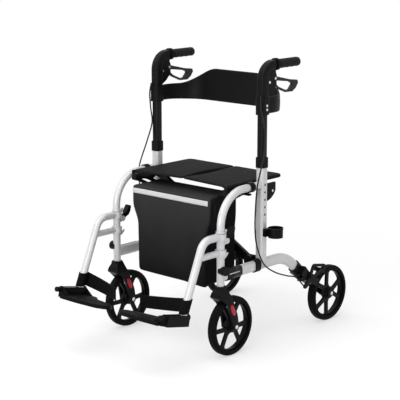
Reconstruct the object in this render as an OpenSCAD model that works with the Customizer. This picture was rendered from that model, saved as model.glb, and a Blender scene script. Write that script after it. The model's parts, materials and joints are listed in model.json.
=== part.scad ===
// Rollator transport chair: a folding four-wheeled walker with a seat, a backrest band,
// a bag, swing-away footrests and loop brakes.
// Millimetres, +Z up, the front faces -Y, the chair's left side is at +X.

/* [Side frames] */
// Middle of the chair to the middle of a side frame
side_x = 238; // [232:1:246]
// Outside diameter of the round frame tubes
post_d = 25.4; // [23:0.2:27]
// Radius of the arch from the front post to the seat bar
arch_r = 108; // [98:1:116]
// Height of the seat bar's axis
arch_z = 548; // [540:1:556]
// Distance of the upright behind the front post
upright_y = 205; // [200:1:212]
// Width of the rounded square upright
upright_w = 30; // [29:0.5:32]
// Height of the lower rail's axis
rail_z = 278; // [274:1:284]
// Height of the oval lower rail
rail_h = 37; // [33:0.5:40]
// Width of the oval lower rail
rail_w = 23; // [20:0.5:24.5]
// Underside of the front post
post_z = 245; // [241:1:248]

/* [Wheels] */
// Wheel radius with the tyre
wheel_r = 100; // [95:0.5:102]
// Tyre width
tyre_w = 30; // [26:1:32]
// Front axle behind its swivel axis
trail = 49; // [44:1:54]
// Rear axle behind the front post
rear_y = 573; // [565:1:582]
// Rear wheel's offset outwards from the side frame
rear_out = 5; // [3:1:7]

/* [Handles] */
// Top of the upright, where the collar sits
collar_z = 608; // [600:1:614]
// Height of the collar
collar_h = 32; // [26:1:36]
// Height of the grip's axis at the highest setting
grip_z = 941; // [935:1:950]
// Distance between the height holes
hole_pitch = 25; // [23:0.5:26]
// Radius of the grip
grip_r = 15.5; // [14:0.5:17]
// Length of the grip
grip_l = 113; // [105:1:120]

/* [Seat and braces] */
// Top of the seat
seat_z = 563; // [561:0.5:566]
// Thickness of a seat panel
seat_t = 14; // [12:0.5:15]
// Front edge of the seat behind the front post
seat_y0 = 60; // [54:1:66]
// Rear edge of the seat behind the front post
seat_y1 = 348; // [335:1:358]
// Gap between the two seat panels
seat_gap = 30; // [28:1:36]
// Width of a brace bar
brace_w = 27; // [24:1:28]
// Thickness of a brace bar
brace_t = 12; // [10:0.5:12.5]

/* [Footrests] */
// Height of the hanger's upper bar
bar_z = 409; // [404:1:414]
// Height of the hanger's lower strut
strut_z = 356; // [350:1:362]
// Lean of the hanger's leg from upright
leg_a = 23; // [20:0.5:25]
// Toe-up tilt of the footplate
foot_tilt = 12; // [9:0.5:14]
// Thickness of the footplate
plate_t = 12; // [10:0.5:13]

/* [Bag and backrest] */
// Width of the bag at the top
bag_w = 346; // [330:1:356]
// Depth of the bag
bag_d = 130; // [115:1:134]
// Top of the bag
bag_z1 = 522; // [505:1:524]
// Underside of the bag
bag_z0 = 222; // [215:1:235]
// Furthest reach of the backrest band behind the upright
back_d = 155; // [145:1:165]
// Thickness of the backrest band
back_t = 11; // [8:0.5:13]

/* [Holder cup] */
// Inside radius of the holder cup
cup_r = 23.5; // [22:0.5:26]
// Height of the holder cup
cup_h = 33; // [30:1:38]

/* [Fits] */
// Radial clearance of a pin that turns in its bore
run_fit = 0.05; // [0.02:0.01:0.1]
// Clearance of the handle tube and of the swivel clamps
slide_fit = 0.3; // [0.25:0.05:0.4]
// Gap between neighbouring pieces that move apart
gap = 0.5; // [0.4:0.1:0.8]

/* [Hidden] */
silver = [0.84, 0.84, 0.85];
black = [0.06, 0.06, 0.065];
grey = [0.2, 0.2, 0.21];
steel = [0.7, 0.7, 0.72];
cloth = [0.1, 0.1, 0.105];
post_r = post_d / 2;
// a tube that joins a bend is this much slimmer than the bend
joint = 0.1;
// lower rail with its bend down to the rear wheel
bend_y = 282;
bend_r = 139;
bend_a = 43;
tail_y = bend_y + bend_r * sin(bend_a);
tail_z = rail_z - bend_r + bend_r * cos(bend_a);
tail_l = 34;
end_y = tail_y + tail_l * cos(bend_a);
end_z = tail_z - tail_l * sin(bend_a);
upright_r = 8;
tube_w = upright_w - 3.4;
tube_r = 6.5;
collar_lip = 2;
tube_z0 = collar_z - 148;
hole_z = collar_z - 34;
// caster stem
stem_r = 8;
stem_l = 60;
// wheels
axle_r = 5;
hub_r = 21;
rim_r = wheel_r - 16;
rim_t = 6;
rim_w = tyre_w - 12;
slot_w = tyre_w + 8;
leg_t = 7;
fork_w = slot_w + 2 * leg_t;
rear_x = side_x + rear_out;
// handle head
elbow_r = 50;
elbow_z = grip_z - elbow_r;
elbow_y = upright_y + elbow_r;
shell_w = 32;
shell_z = elbow_z - 53;
ring_y = elbow_y + 8;
ring_l = 13;
grip_y = ring_y + ring_l;
lever_y = elbow_y - 2;
lever_z = elbow_z + 6;
lever_t = 10;
pin_r = 3;
// backrest
bracket_w = tube_w + 9.4;
bracket_z0 = shell_z - 57;
bracket_z1 = shell_z - 1;
back_y0 = upright_y + bracket_w / 2;
back_y1 = upright_y + back_d;
back_r = 105;
// scissor braces
ear_t = 6;
brace_x = side_x - 32;
brace_z0 = rail_z + 20;
hinge_x = side_x - 28;
hinge_z = seat_z - seat_t / 2;
seat_x1 = side_x - 24;
bar_top = seat_z - seat_t - 1.5;
bar_h = 21;
bar_w = 20;
lug_t = 6;
lug_y = seat_y1 - 106;
seat_bow = 17;
seat_bevel = 6;
seat_corner = 16;
// the panel's crown and the inset of its lower edge
seat_crown = 2.5;
seat_tuck = 2;
brace_z1 = bar_top - bar_h / 2;
brace_ya = upright_y - upright_w / 2 - brace_t - ear_t - 1.5;
brace_yb = brace_ya - brace_t - 1;
brace_len = sqrt(pow(2 * brace_x, 2) + pow(brace_z1 - brace_z0, 2));
brace_a = atan2(brace_z1 - brace_z0, 2 * brace_x);
// footrest hanger
hang_d = post_d;
hang_r = 45;
bar_y = 54;
clamp_r = post_r + 5.5;
clamp_h = 20;
stop_h = 5;
stop_z1 = bar_z + max(clamp_h, hang_d) / 2 + gap;
stop_z0 = strut_z - max(clamp_h / 2, hang_d / 2 - 2) - gap;
lock_y = post_r + 12;
lock_z = bar_z - 17;
leg_y0 = -bar_y - hang_r * cos(leg_a);
leg_z0 = bar_z - hang_r + hang_r * sin(leg_a);
foot_z = 178;
leg_l = (leg_z0 - foot_z) / cos(leg_a);
foot_y = leg_y0 - leg_l * sin(leg_a);
block_w = 28;
block_h = 50;
block_y0 = -80;
block_y1 = 20;
flip_z = 3;
flip_r = 5;
block_top = flip_z + flip_r + 3;
knob_r = 8.5;
knob_y = block_y0 - 26;
plate_y = block_y0 - 21;
foot_front = foot_y + min(knob_y * cos(foot_tilt) + (flip_z - knob_r) * sin(foot_tilt),
    plate_y * cos(foot_tilt) - block_h / 2 * sin(foot_tilt));
strap_t = 3;
strap_h = 46;
strap_up = 16;
strap_x = 55;
// rear fork and brake
fork_dy = rear_y - end_y;
fork_dz = end_z - wheel_r;
fork_a = atan2(fork_dz, fork_dy);
fork_len = sqrt(fork_dy * fork_dy + fork_dz * fork_dz);
brake_out = 63.74;
brake_s = fork_len - wheel_r - brake_out;
brake_y = end_y + brake_s * cos(fork_a) - 2 * sin(fork_a);
brake_z = end_z - brake_s * sin(fork_a) - 2 * cos(fork_a);
shoe_gap = 3.3;
arm_x = rear_x + fork_w / 2 + gap;
arm_t = 6;
// holder cup on the left upright
cup_t = 1.5;
cup_lip = 1;
cup_x = side_x + upright_w / 2 + 5 + cup_r + cup_t;
cup_y = upright_y + 20;
cup_z = 406 - cup_h;
// bag
bag_y0 = 18;
bag_low = bag_w - 38;
bag_top = 218;
// brake cable
cable_r = 2.5;
cable_x = side_x + 24;
cable_pts = [
    [side_x + 9, upright_y - shell_w / 2 - 3.5, shell_z + 8],
    [side_x + 13, upright_y - shell_w / 2 - 7.5, shell_z - 30],
    [cable_x - 2, upright_y - shell_w / 2 - 4, shell_z - 80],
    [cable_x + 1, upright_y - 13, shell_z - 140],
    [cable_x + 2, upright_y - 24, collar_z + 34],
    [cable_x + 1, upright_y - 52, collar_z - 52],
    [cable_x, upright_y - 60, collar_z - 130],
    [cable_x, upright_y - 61, collar_z - 200],
    [cable_x, upright_y - 50, rail_z + 72],
    [cable_x, upright_y - 14, rail_z + 6],
    [cable_x, upright_y + 45, rail_z - 34],
    [cable_x + 1, upright_y + 110, rail_z - 60],
    [arm_x - 1, brake_y - 80, brake_z + 14],
    [arm_x + arm_t / 2, brake_y - 41, brake_z - 23]
];
// the right-hand cable lies on its tube and leaves it lower down
cable_pts_r = [
    cable_pts[0],
    cable_pts[1],
    [side_x + 12, upright_y - 20, shell_z - 80],
    [side_x + 9, upright_y - 17, shell_z - 132],
    [side_x + 15, upright_y - 37, collar_z + 34],
    [cable_x, upright_y - 68, collar_z - 54],
    [cable_x, upright_y - 66, collar_z - 130],
    for (i = [7 : len(cable_pts) - 1]) cable_pts[i]
];
cable_n = 3;
function spline(a, b, c, d, t) = 0.5 * (2 * b + (c - a) * t + (2 * a - 5 * b + 4 * c - d) * t * t
    + (3 * b - a - 3 * c + d) * t * t * t);
function pick(p, i) = p[max(0, min(len(p) - 1, i))];
function smooth_path(p, n) = concat([for (i = [0 : len(p) - 2]) for (j = [0 : n - 1])
    spline(pick(p, i - 1), p[i], p[i + 1], pick(p, i + 2), j / n)], [p[len(p) - 1]]);
function unit(v) = v / norm(v);
// whole object: the origin is the middle of its box on the floor
ctr_x = (cup_x + cup_r + cup_t + cup_lip - (arm_x + arm_t + 3)) / 2;
ctr_y = (rear_y + wheel_r + foot_front) / 2;

// Places a left-hand piece in the object's frame
module left() {
    translate([-ctr_x, -ctr_y, 0]) children();
}

// Places the mirror image of a left-hand piece
module right() {
    translate([-ctr_x, -ctr_y, 0]) mirror([1, 0, 0]) children();
}

module rounded_square(w, r) {
    square([w - 2 * r, w], center = true);
    square([w, w - 2 * r], center = true);
    for (i = [-1, 1]) {
        for (j = [-1, 1]) {
            translate([i * (w / 2 - r), j * (w / 2 - r)]) circle(r = r, $fn = 48);
        }
    }
}

module oval(w, h) {
    square([w, h - w], center = true);
    translate([0, (h - w) / 2]) circle(d = w, $fn = 64);
    translate([0, -(h - w) / 2]) circle(d = w, $fn = 64);
}

// Draws a side view, given as (y, z), as a plate of width w across X
module plate_yz(w) {
    rotate([90, 0, 90]) translate([0, 0, -w / 2]) linear_extrude(w) children();
}

module rod_x(r, x0, x1, y, z) {
    translate([x0, y, z]) rotate([0, 90, 0]) cylinder(r = r, h = x1 - x0, $fn = 48);
}

module rod_y(r, y0, y1, x, z) {
    translate([x, y0, z]) rotate([-90, 0, 0]) cylinder(r = r, h = y1 - y0, $fn = 48);
}

// Straight end of the lower rail; it starts a little inside the bend
module tail_tube(l) {
    translate([0, tail_y, tail_z]) rotate([-90 - bend_a, 0, 0]) translate([0, 0, -1])
        linear_extrude(l + 1) oval(rail_w - joint, rail_h - joint);
}

module frame_solid() {
    translate([side_x, 0, 0]) difference() {
        union() {
            translate([0, 0, post_z]) cylinder(d = post_d, h = arch_z - arch_r - post_z, $fn = 64);
            translate([0, arch_r, arch_z - arch_r]) rotate([90, 0, -90])
                rotate_extrude(angle = 90, $fn = 96) translate([arch_r, 0]) circle(d = post_d, $fn = 64);
            rod_y(post_r, arch_r, upright_y, 0, arch_z);
            translate([0, 0, rail_z]) rotate([-90, 0, 0]) linear_extrude(bend_y) oval(rail_w, rail_h);
            translate([0, bend_y, rail_z - bend_r]) rotate([0, -90, 0])
                rotate_extrude(angle = bend_a, $fn = 128)
                    translate([bend_r, 0]) rotate(90) oval(rail_w, rail_h);
            tail_tube(tail_l);
            translate([0, upright_y, rail_z]) linear_extrude(collar_z - rail_z)
                rounded_square(upright_w, upright_r);
            // stop rings above and below the hanger's clamps
            translate([0, 0, stop_z1]) cylinder(r = post_r + 3, h = stop_h, $fn = 64);
            translate([0, 0, stop_z0 - stop_h]) cylinder(r = post_r + 3, h = stop_h, $fn = 64);
        }
        translate([0, upright_y, rail_z + rail_h / 2 + 8]) linear_extrude(collar_z)
            rounded_square(tube_w + 2 * slide_fit, tube_r + slide_fit);
        for (i = [0 : 5]) {
            rod_x(4, upright_w / 2 - 5, upright_w / 2 + 5, upright_y, hole_z - i * hole_pitch);
        }
        translate([0, 0, post_z - 1]) cylinder(r = stem_r + run_fit, h = stem_l + 2, $fn = 64);
    }
}

// Clamp on the lower rail with the two ears of a brace's pivot
module knuckle_solid(y0) {
    y1 = y0 - gap - ear_t;
    y2 = y0 + brace_t + gap;
    difference() {
        union() {
            translate([side_x, y1, rail_z]) rotate([-90, 0, 0])
                linear_extrude(y2 + ear_t - y1) oval(rail_w + 8, rail_h + 8);
            for (y = [y1, y2]) {
                rod_y(12, y, y + ear_t, brace_x, brace_z0);
                translate([brace_x - 8, y, rail_z - 6])
                    cube([side_x - brace_x + 8, ear_t, brace_z0 - rail_z + 6]);
                translate([brace_x, y, rail_z])
                    cube([side_x - brace_x - rail_w / 2 + 2, ear_t, brace_z0 - rail_z + 12]);
            }
        }
        translate([side_x, y1 - 1, rail_z]) rotate([-90, 0, 0])
            linear_extrude(y2 + ear_t - y1 + 2) oval(rail_w, rail_h);
        translate([brace_x - 40, y1 + ear_t, rail_z - 60])
            cube([40 + side_x - rail_w / 2 - 4 - brace_x, y2 - y1 - ear_t, 120]);
        rod_y(pin_r + 2, y1 - 1, y2 + ear_t + 1, brace_x, brace_z0);
    }
    rod_y(pin_r + 2, y1 - 2, y2 + ear_t + 2, brace_x, brace_z0);
}

// Seat saddle over the seat bar, the rear gusset and the post's bumper
module saddle_solid() {
    difference() {
        union() {
            rod_y(post_r + 4.5, upright_y - 70, upright_y - 49, side_x, arch_z);
            translate([side_x - 36, upright_y - 66, bar_top - bar_h - gap - 6]) cube([36, 14, 6]);
            translate([side_x - post_r - 6, upright_y - 66, bar_top - bar_h - gap - 6])
                cube([6, 14, arch_z - bar_top + bar_h + 6]);
        }
        rod_y(post_r, upright_y - 80, upright_y - 30, side_x, arch_z);
    }
    // quarter-round gusset behind the upright
    intersection() {
        translate([side_x, 0, 0]) plate_yz(8)
            translate([upright_y + upright_w / 2, arch_z + 2]) circle(r = 62, $fn = 96);
        translate([side_x - 10, upright_y + upright_w / 2, arch_z - 62]) cube([20, 54, 62]);
    }
    // bumper on the outer side of the front post
    difference() {
        rod_x(15, side_x, side_x + post_r + 12, 0, rail_z + 19);
        translate([side_x, 0, rail_z - 40]) cylinder(r = post_r, h = 100, $fn = 64);
        translate([side_x, -1, rail_z]) rotate([-90, 0, 0]) linear_extrude(60) oval(rail_w, rail_h);
    }
}

module collar_solid() {
    translate([side_x, upright_y, collar_z - collar_lip]) difference() {
        linear_extrude(collar_h + collar_lip) rounded_square(upright_w + 5, upright_r + 2);
        translate([0, 0, -1]) linear_extrude(collar_lip + 1) rounded_square(upright_w, upright_r);
        linear_extrude(collar_h + collar_lip + 1) rounded_square(tube_w + 2 * slide_fit, tube_r + slide_fit);
    }
}

// Black inner tube with the spring button behind the top hole
module handle_tube_solid() {
    translate([side_x, upright_y, 0]) difference() {
        translate([0, 0, tube_z0]) linear_extrude(shell_z + 30 - tube_z0) rounded_square(tube_w, tube_r);
        translate([0, 0, tube_z0 - 1]) linear_extrude(shell_z + 32 - tube_z0)
            rounded_square(tube_w - 3.6, tube_r - 1.8);
    }
    rod_x(3.6, side_x + tube_w / 2 - 4, side_x + tube_w / 2 + slide_fit / 3, upright_y, hole_z);
}

module shell_web() {
    polygon([
        [upright_y - 12, shell_z + 20], [upright_y + 14, shell_z + 2], [upright_y + 34, shell_z + 14],
        [lever_y + 8, lever_z - 22], [lever_y + 9, lever_z + 8], [lever_y + 4, lever_z + 20],
        [elbow_y + 2, grip_z - 2], [upright_y + 12, elbow_z + 10]
    ]);
}

module handle_shell_solid() {
    difference() {
        union() {
            translate([side_x, upright_y, shell_z]) linear_extrude(elbow_z - shell_z)
                rounded_square(shell_w, 9);
            translate([side_x, elbow_y, elbow_z]) rotate([90, 0, -90])
                rotate_extrude(angle = 90, $fn = 96) translate([elbow_r, 0]) rounded_square(shell_w, 9);
            translate([side_x, 0, 0]) plate_yz(26) shell_web();
            rod_y(shell_w / 2 - 1, elbow_y - 1, ring_y + 1, side_x, grip_z);
            rod_y(19, ring_y, ring_y + ring_l, side_x, grip_z);
            rod_y(grip_r - 5, ring_y, grip_y + grip_l - 12, side_x, grip_z);
        }
        translate([side_x, upright_y, shell_z - 1]) linear_extrude(31) rounded_square(tube_w, tube_r);
        // slot for the lever
        rod_x(15, side_x - lever_t / 2 - gap, side_x + lever_t / 2 + gap, lever_y, lever_z);
        translate([side_x - lever_t / 2 - gap, lever_y - 3, lever_z - 60]) cube([lever_t + 2 * gap, 43, 62]);
        rod_x(pin_r, side_x - 30, side_x + 30, lever_y, lever_z);
        rod_x(pin_r, side_x - 30, side_x + 30, upright_y + 15, elbow_z - 4);
    }
}

module grip_solid() {
    translate([side_x, grip_y, grip_z]) rotate([-90, 0, 0]) difference() {
        rotate_extrude($fn = 96) {
            square([grip_r, grip_l - 6]);
            square([grip_r - 6, grip_l]);
            translate([grip_r - 6, grip_l - 6]) circle(r = 6, $fn = 48);
        }
        translate([0, 0, -1]) cylinder(r = grip_r - 5, h = grip_l - 11, $fn = 64);
    }
}

module brake_lever_solid() {
    translate([side_x, 0, 0]) difference() {
        union() {
            plate_yz(lever_t) polygon([
                [lever_y - 6, lever_z - 7], [lever_y + 6, lever_z + 7], [lever_y + 90, lever_z - 12],
                [lever_y + 130, lever_z - 17], [lever_y + 134, lever_z - 27], [lever_y + 122, lever_z - 43],
                [lever_y + 104, lever_z - 54], [lever_y + 66, lever_z - 53], [lever_y + 24, lever_z - 36],
                [lever_y + 4, lever_z - 22]
            ]);
            rod_x(11, -lever_t / 2, lever_t / 2, lever_y, lever_z);
        }
        plate_yz(lever_t + 2) polygon([
            [lever_y + 18, lever_z - 10], [lever_y + 86, lever_z - 19], [lever_y + 102, lever_z - 28],
            [lever_y + 86, lever_z - 45], [lever_y + 68, lever_z - 46], [lever_y + 30, lever_z - 31],
            [lever_y + 16, lever_z - 20]
        ]);
        rod_x(pin_r + run_fit, -20, 20, lever_y, lever_z);
    }
}

// Lever pivot, shell bolt and backrest screws of one handle
module handle_bolts_solid() {
    rod_x(pin_r, side_x - 13, side_x + 13, lever_y, lever_z);
    rod_x(4.5, side_x + 13, side_x + 15.5, lever_y, lever_z);
    rod_x(4.5, side_x - 15.5, side_x - 13, lever_y, lever_z);
    rod_x(pin_r, side_x - 16, side_x + 16, upright_y + 15, elbow_z - 4);
    rod_x(4.5, side_x + 16, side_x + 18, upright_y + 15, elbow_z - 4);
    rod_x(4.5, side_x - 18, side_x - 16, upright_y + 15, elbow_z - 4);
    for (z = [shell_z - 26, shell_z - 39]) {
        rod_x(4.2, side_x + bracket_w / 2, side_x + bracket_w / 2 + 2, upright_y, z);
        rod_x(2.5, side_x + bracket_w / 2 - 4, side_x + bracket_w / 2 + 1, upright_y, z);
    }
}

module back_bracket_solid() {
    difference() {
        union() {
            translate([side_x, upright_y, bracket_z0]) linear_extrude(bracket_z1 - bracket_z0)
                rounded_square(bracket_w, 8);
            translate([side_x - 13, upright_y, bracket_z0])
                cube([26, bracket_w / 2, bracket_z1 - bracket_z0]);
        }
        translate([side_x, upright_y, bracket_z0 - 1]) linear_extrude(bracket_z1 - bracket_z0 + 2)
            rounded_square(tube_w, tube_r);
        for (z = [shell_z - 26, shell_z - 39]) {
            rod_x(2.5, side_x + bracket_w / 2 - 4, side_x + bracket_w / 2 + 1, upright_y, z);
        }
    }
}

// Curved backrest band, in one piece between the two handles
module backrest_solid() {
    h = grip_z - bracket_z0;
    intersection() {
        translate([0, 0, bracket_z0]) linear_extrude(h) difference() {
            union() {
                translate([-side_x - back_t / 2, back_y0])
                    square([2 * side_x + back_t, back_y1 - back_r - back_y0]);
                translate([-side_x - back_t / 2 + back_r, back_y0])
                    square([2 * (side_x - back_r) + back_t, back_y1 - back_y0]);
                for (i = [-1, 1]) {
                    translate([i * (side_x + back_t / 2 - back_r), back_y1 - back_r])
                        circle(r = back_r, $fn = 128);
                }
            }
            translate([-side_x - 20, back_y0 - back_r]) square([2 * side_x + 40, back_r]);
            translate([-side_x + back_t / 2, back_y0 - 1])
                square([2 * side_x - back_t, back_y1 - back_r - back_y0 + 1]);
            translate([-side_x - back_t / 2 + back_r, back_y0 - 1])
                square([2 * (side_x - back_r) + back_t, back_y1 - back_y0 - back_t + 1]);
            for (i = [-1, 1]) {
                translate([i * (side_x + back_t / 2 - back_r), back_y1 - back_r])
                    circle(r = back_r - back_t, $fn = 128);
            }
        }
        rotate([90, 0, 0]) translate([0, 0, -back_y1 - 50]) linear_extrude(back_d + 100) polygon([
            [-side_x - 20, bracket_z0 + 2], [side_x + 20, bracket_z0 + 2], [side_x + 20, bracket_z1 - 2],
            [side_x - 60, bracket_z1 + 5], [side_x - 128, bracket_z1 + 56], [-side_x + 128, bracket_z1 + 56],
            [-side_x + 60, bracket_z1 + 5], [-side_x - 20, bracket_z1 - 2]
        ]);
    }
}

// Brake cable from the handle down the upright to the rear brake
module brake_cable_solid(knots) {
    path = smooth_path(knots, cable_n);
    n = len(path);
    sides = 8;
    pts = [for (i = [0 : n - 1])
        let (t = unit(pick(path, i + 1) - pick(path, i - 1)), v = unit(cross(t, [1, 0, 0])), w = cross(v, t))
        for (k = [0 : sides - 1])
            path[i] + cable_r * (v * cos(360 * k / sides) + w * sin(360 * k / sides))];
    quads = [for (i = [0 : n - 2]) for (k = [0 : sides - 1])
        [i * sides + k, i * sides + (k + 1) % sides,
            (i + 1) * sides + (k + 1) % sides, (i + 1) * sides + k]];
    tris = [for (q = quads) each [[q[0], q[1], q[2]], [q[0], q[2], q[3]]]];
    lid0 = [for (k = [1 : sides - 2]) [0, k + 1, k]];
    lid1 = [for (k = [1 : sides - 2]) [(n - 1) * sides, (n - 1) * sides + k, (n - 1) * sides + k + 1]];
    polyhedron(points = pts, faces = concat(tris, lid0, lid1));
}

module caster_profile() {
    translate([trail, wheel_r]) circle(r = 15, $fn = 64);
    translate([-3, post_z - 25]) circle(r = 23, $fn = 64);
    polygon([
        [-17, post_z - 2], [17, post_z - 2], [26, post_z - 28], [trail - 6, wheel_r + 72],
        [trail + 8, wheel_r + 38], [trail + 14, wheel_r + 4], [trail - 14, wheel_r - 4],
        [trail - 22, wheel_r + 40], [trail - 40, wheel_r + 78], [-22, post_z - 36], [-25, post_z - 22]
    ]);
}

module caster_fork_solid() {
    difference() {
        union() {
            translate([side_x, 0, 0]) plate_yz(fork_w) caster_profile();
            translate([side_x, 0, post_z - 12]) cylinder(r = 18, h = 12 - gap, $fn = 64);
            translate([side_x, 0, post_z - 12]) cylinder(r = stem_r, h = 12 + stem_l, $fn = 64);
        }
        rod_x(wheel_r + 5, side_x - slot_w / 2, side_x + slot_w / 2, trail, wheel_r);
        rod_x(axle_r, side_x - 40, side_x + 40, trail, wheel_r);
    }
}

module axle_solid(x, y, out) {
    rod_x(axle_r, x - fork_w / 2, x + out, y, wheel_r);
    rod_x(axle_r + 1.5, x + out, x + out + 3, y, wheel_r);
    rod_x(axle_r + 1.5, x - fork_w / 2 - 3, x - fork_w / 2, y, wheel_r);
}

module spoke(a, s) {
    r0 = hub_r - 4;
    r1 = rim_r - rim_t / 2;
    b = a + s * 26;
    d = [cos(b) * r1 - cos(a) * r0, sin(b) * r1 - sin(a) * r0];
    m = [-d[1], d[0]] / norm(d) * 5.5;
    p = [cos(a) * r0, sin(a) * r0];
    polygon([p + m, p - m, p + d - m, p + d + m]);
}

module rim_solid(x, y, turn) {
    translate([x, y, wheel_r]) rotate([0, 90, 0]) difference() {
        union() {
            translate([0, 0, -slot_w / 2 + gap]) cylinder(r = hub_r - 5, h = slot_w - 2 * gap, $fn = 64);
            translate([0, 0, -12]) cylinder(r = hub_r, h = 24, $fn = 64);
            translate([0, 0, -rim_w / 2]) rotate_extrude($fn = 128)
                translate([rim_r - rim_t, 0]) square([rim_t, rim_w]);
            translate([0, 0, -7]) linear_extrude(14) {
                for (a = [turn, turn + 120, turn + 240]) {
                    spoke(a, 1);
                    spoke(a, -1);
                }
            }
        }
        translate([0, 0, -40]) cylinder(r = axle_r + run_fit, h = 80, $fn = 48);
    }
}

module tyre_solid(x, y) {
    translate([x, y, wheel_r]) rotate([0, 90, 0]) rotate_extrude($fn = 128) difference() {
        union() {
            translate([rim_r, -tyre_w / 2]) square([wheel_r - rim_r - 9, tyre_w]);
            translate([wheel_r - 9, -tyre_w / 2 + 9]) circle(r = 9, $fn = 48);
            translate([wheel_r - 9, tyre_w / 2 - 9]) circle(r = 9, $fn = 48);
            translate([wheel_r - 12, -tyre_w / 2 + 9]) square([12, tyre_w - 18]);
        }
        translate([rim_r - 20, -tyre_w]) square([20, 2 * tyre_w]);
    }
}

module rear_fork_solid() {
    difference() {
        union() {
            translate([side_x, 0, 0]) translate([0, tail_y, tail_z]) rotate([-90 - bend_a, 0, 0])
                translate([0, 0, 8]) linear_extrude(tail_l + 14) oval(rail_w + 9, rail_h + 9);
            translate([rear_x, end_y, end_z]) rotate([-fork_a, 0, 0]) plate_yz(fork_w) {
                polygon([[0, 18], [-4, -18], [fork_len, -14], [fork_len, 12], [36, 10]]);
                translate([fork_len, 0]) circle(r = 15, $fn = 64);
            }
            // pivot stud and cable stop of the brake
            rod_x(4, rear_x, arm_x + arm_t + 1, brake_y, brake_z);
            rod_x(7, arm_x + arm_t + gap, arm_x + arm_t + 3, brake_y, brake_z);
            translate([rear_x + 10, brake_y - 52, brake_z - 8]) cube([fork_w / 2 - 10, 46, 13]);
        }
        translate([side_x, 0, 0]) tail_tube(tail_l);
        translate([side_x, 0, 0]) translate([0, bend_y, rail_z - bend_r]) rotate([0, -90, 0])
            rotate_extrude(angle = bend_a, $fn = 128) translate([bend_r, 0]) rotate(90) oval(rail_w, rail_h);
        rod_x(wheel_r + 5, rear_x - slot_w / 2, rear_x + fork_w, rear_y, wheel_r);
        rod_x(axle_r, rear_x - 40, rear_x + 40, rear_y, wheel_r);
    }
}

// Bell crank at the rear wheel: cable end, pivot and the shoe over the tyre
module brake_arm_solid() {
    difference() {
        union() {
            translate([arm_x + arm_t / 2, brake_y, brake_z]) plate_yz(arm_t) {
                circle(r = 11, $fn = 64);
                translate([-34, -30]) circle(r = 7, $fn = 48);
                polygon([[-10, 5], [5, -10], [-29, -35], [-39, -25]]);
                polygon([[-11, 0], [12, 40], [26, 43],
                    [80, 30], [85, 12], [72, 9], [66, 21], [30, 30], [11, 0]]);
            }
            translate([rear_x - 13, brake_y + 66, brake_z - 12]) cube([arm_x - rear_x + 13 + joint, 17, 36]);
        }
        rod_x(wheel_r + shoe_gap, rear_x - 60, arm_x, rear_y, wheel_r);
        rod_x(4 + run_fit, rear_x, arm_x + 20, brake_y, brake_z);
        rod_x(2.5, arm_x - 5, arm_x + 20, brake_y - 34, brake_z - 30);
    }
}

module leg_tube(d, z0, z1) {
    translate([0, leg_y0, leg_z0]) rotate([180 - leg_a, 0, 0]) translate([0, 0, z0])
        cylinder(d = d - joint, h = z1 - z0, $fn = 64);
}

module hanger_solid() {
    translate([side_x, 0, 0]) difference() {
        union() {
            for (z = [bar_z, strut_z]) {
                translate([0, 0, z - clamp_h / 2]) cylinder(r = clamp_r, h = clamp_h, $fn = 64);
            }
            rod_y(hang_d / 2, -bar_y, 0, 0, bar_z);
            translate([0, -bar_y, bar_z - hang_r]) rotate([180, -90, 0])
                rotate_extrude(angle = 90 - leg_a, $fn = 96)
                    translate([hang_r, 0]) circle(d = hang_d, $fn = 64);
            leg_tube(hang_d, -1, leg_l);
            rod_y(hang_d / 2 - 2, leg_y0 - (leg_z0 - strut_z) * tan(leg_a), 0, 0, strut_z);
            // ears of the release lever
            for (x = [-9, 4 + gap]) {
                translate([x, 10, lock_z - 9]) cube([4.5, lock_y - 10, 18]);
                rod_x(9, x, x + 4.5, lock_y, lock_z);
                translate([x, 10, lock_z - 9]) cube([4.5, 7, bar_z - lock_z + 15]);
            }
        }
        translate([0, 0, strut_z - 40]) cylinder(r = post_r + slide_fit, h = bar_z - strut_z + 80, $fn = 64);
        rod_x(pin_r, -20, 20, lock_y, lock_z);
    }
    rod_x(pin_r, side_x - 10, side_x + 10, lock_y, lock_z);
}

module foot_frame() {
    translate([side_x, foot_y, foot_z]) rotate([-foot_tilt, 0, 0]) children();
}

// Plastic hinge block on the hanger's end, with the footplate's pin and knob
module hinge_block_solid() {
    difference() {
        foot_frame() {
            translate([-block_w / 2, block_y0, -block_h / 2])
                cube([block_w, block_y1 - block_y0, block_h / 2 + block_top]);
            rod_y(flip_r, block_y0 - 20, block_y1 + 8, 0, flip_z);
            rod_y(knob_r, knob_y, block_y0 - 6 - gap, 0, flip_z);
        }
        translate([side_x, 0, 0]) leg_tube(hang_d, -10, leg_l);
    }
}

module foot_ear(y) {
    translate([0, y, 0]) rotate([90, 0, 0]) translate([0, 0, -6 + gap]) linear_extrude(6 - gap) {
        translate([0, flip_z]) circle(r = 11, $fn = 64);
        polygon([
            [-42, -block_h / 2], [-42, -block_h / 2 + plate_t], [-9, flip_z + 6], [10, flip_z - 5],
            [2, -block_h / 2 + 4], [-4, -block_h / 2]
        ]);
    }
}

module footplate_solid() {
    foot_frame() difference() {
        union() {
            translate([0, 0, -block_h / 2]) linear_extrude(plate_t) {
                polygon([
                    [-block_w / 2 - gap, block_y1 + 6], [-block_w / 2 - gap, block_y0 - 18],
                    [-100, plate_y], [-180, block_y0 - 14], [-204, block_y0 + 4], [-213, block_y0 + 24],
                    [-204, block_y0 + 40], [-175, block_y0 + 57], [-103, block_y0 + 72], [-62, block_y1 + 6]
                ]);
            }
            foot_ear(block_y0 - 6);
            foot_ear(block_y1 + gap);
        }
        rod_y(flip_r + run_fit, block_y0 - 40, block_y1 + 40, 0, flip_z);
    }
}

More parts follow.
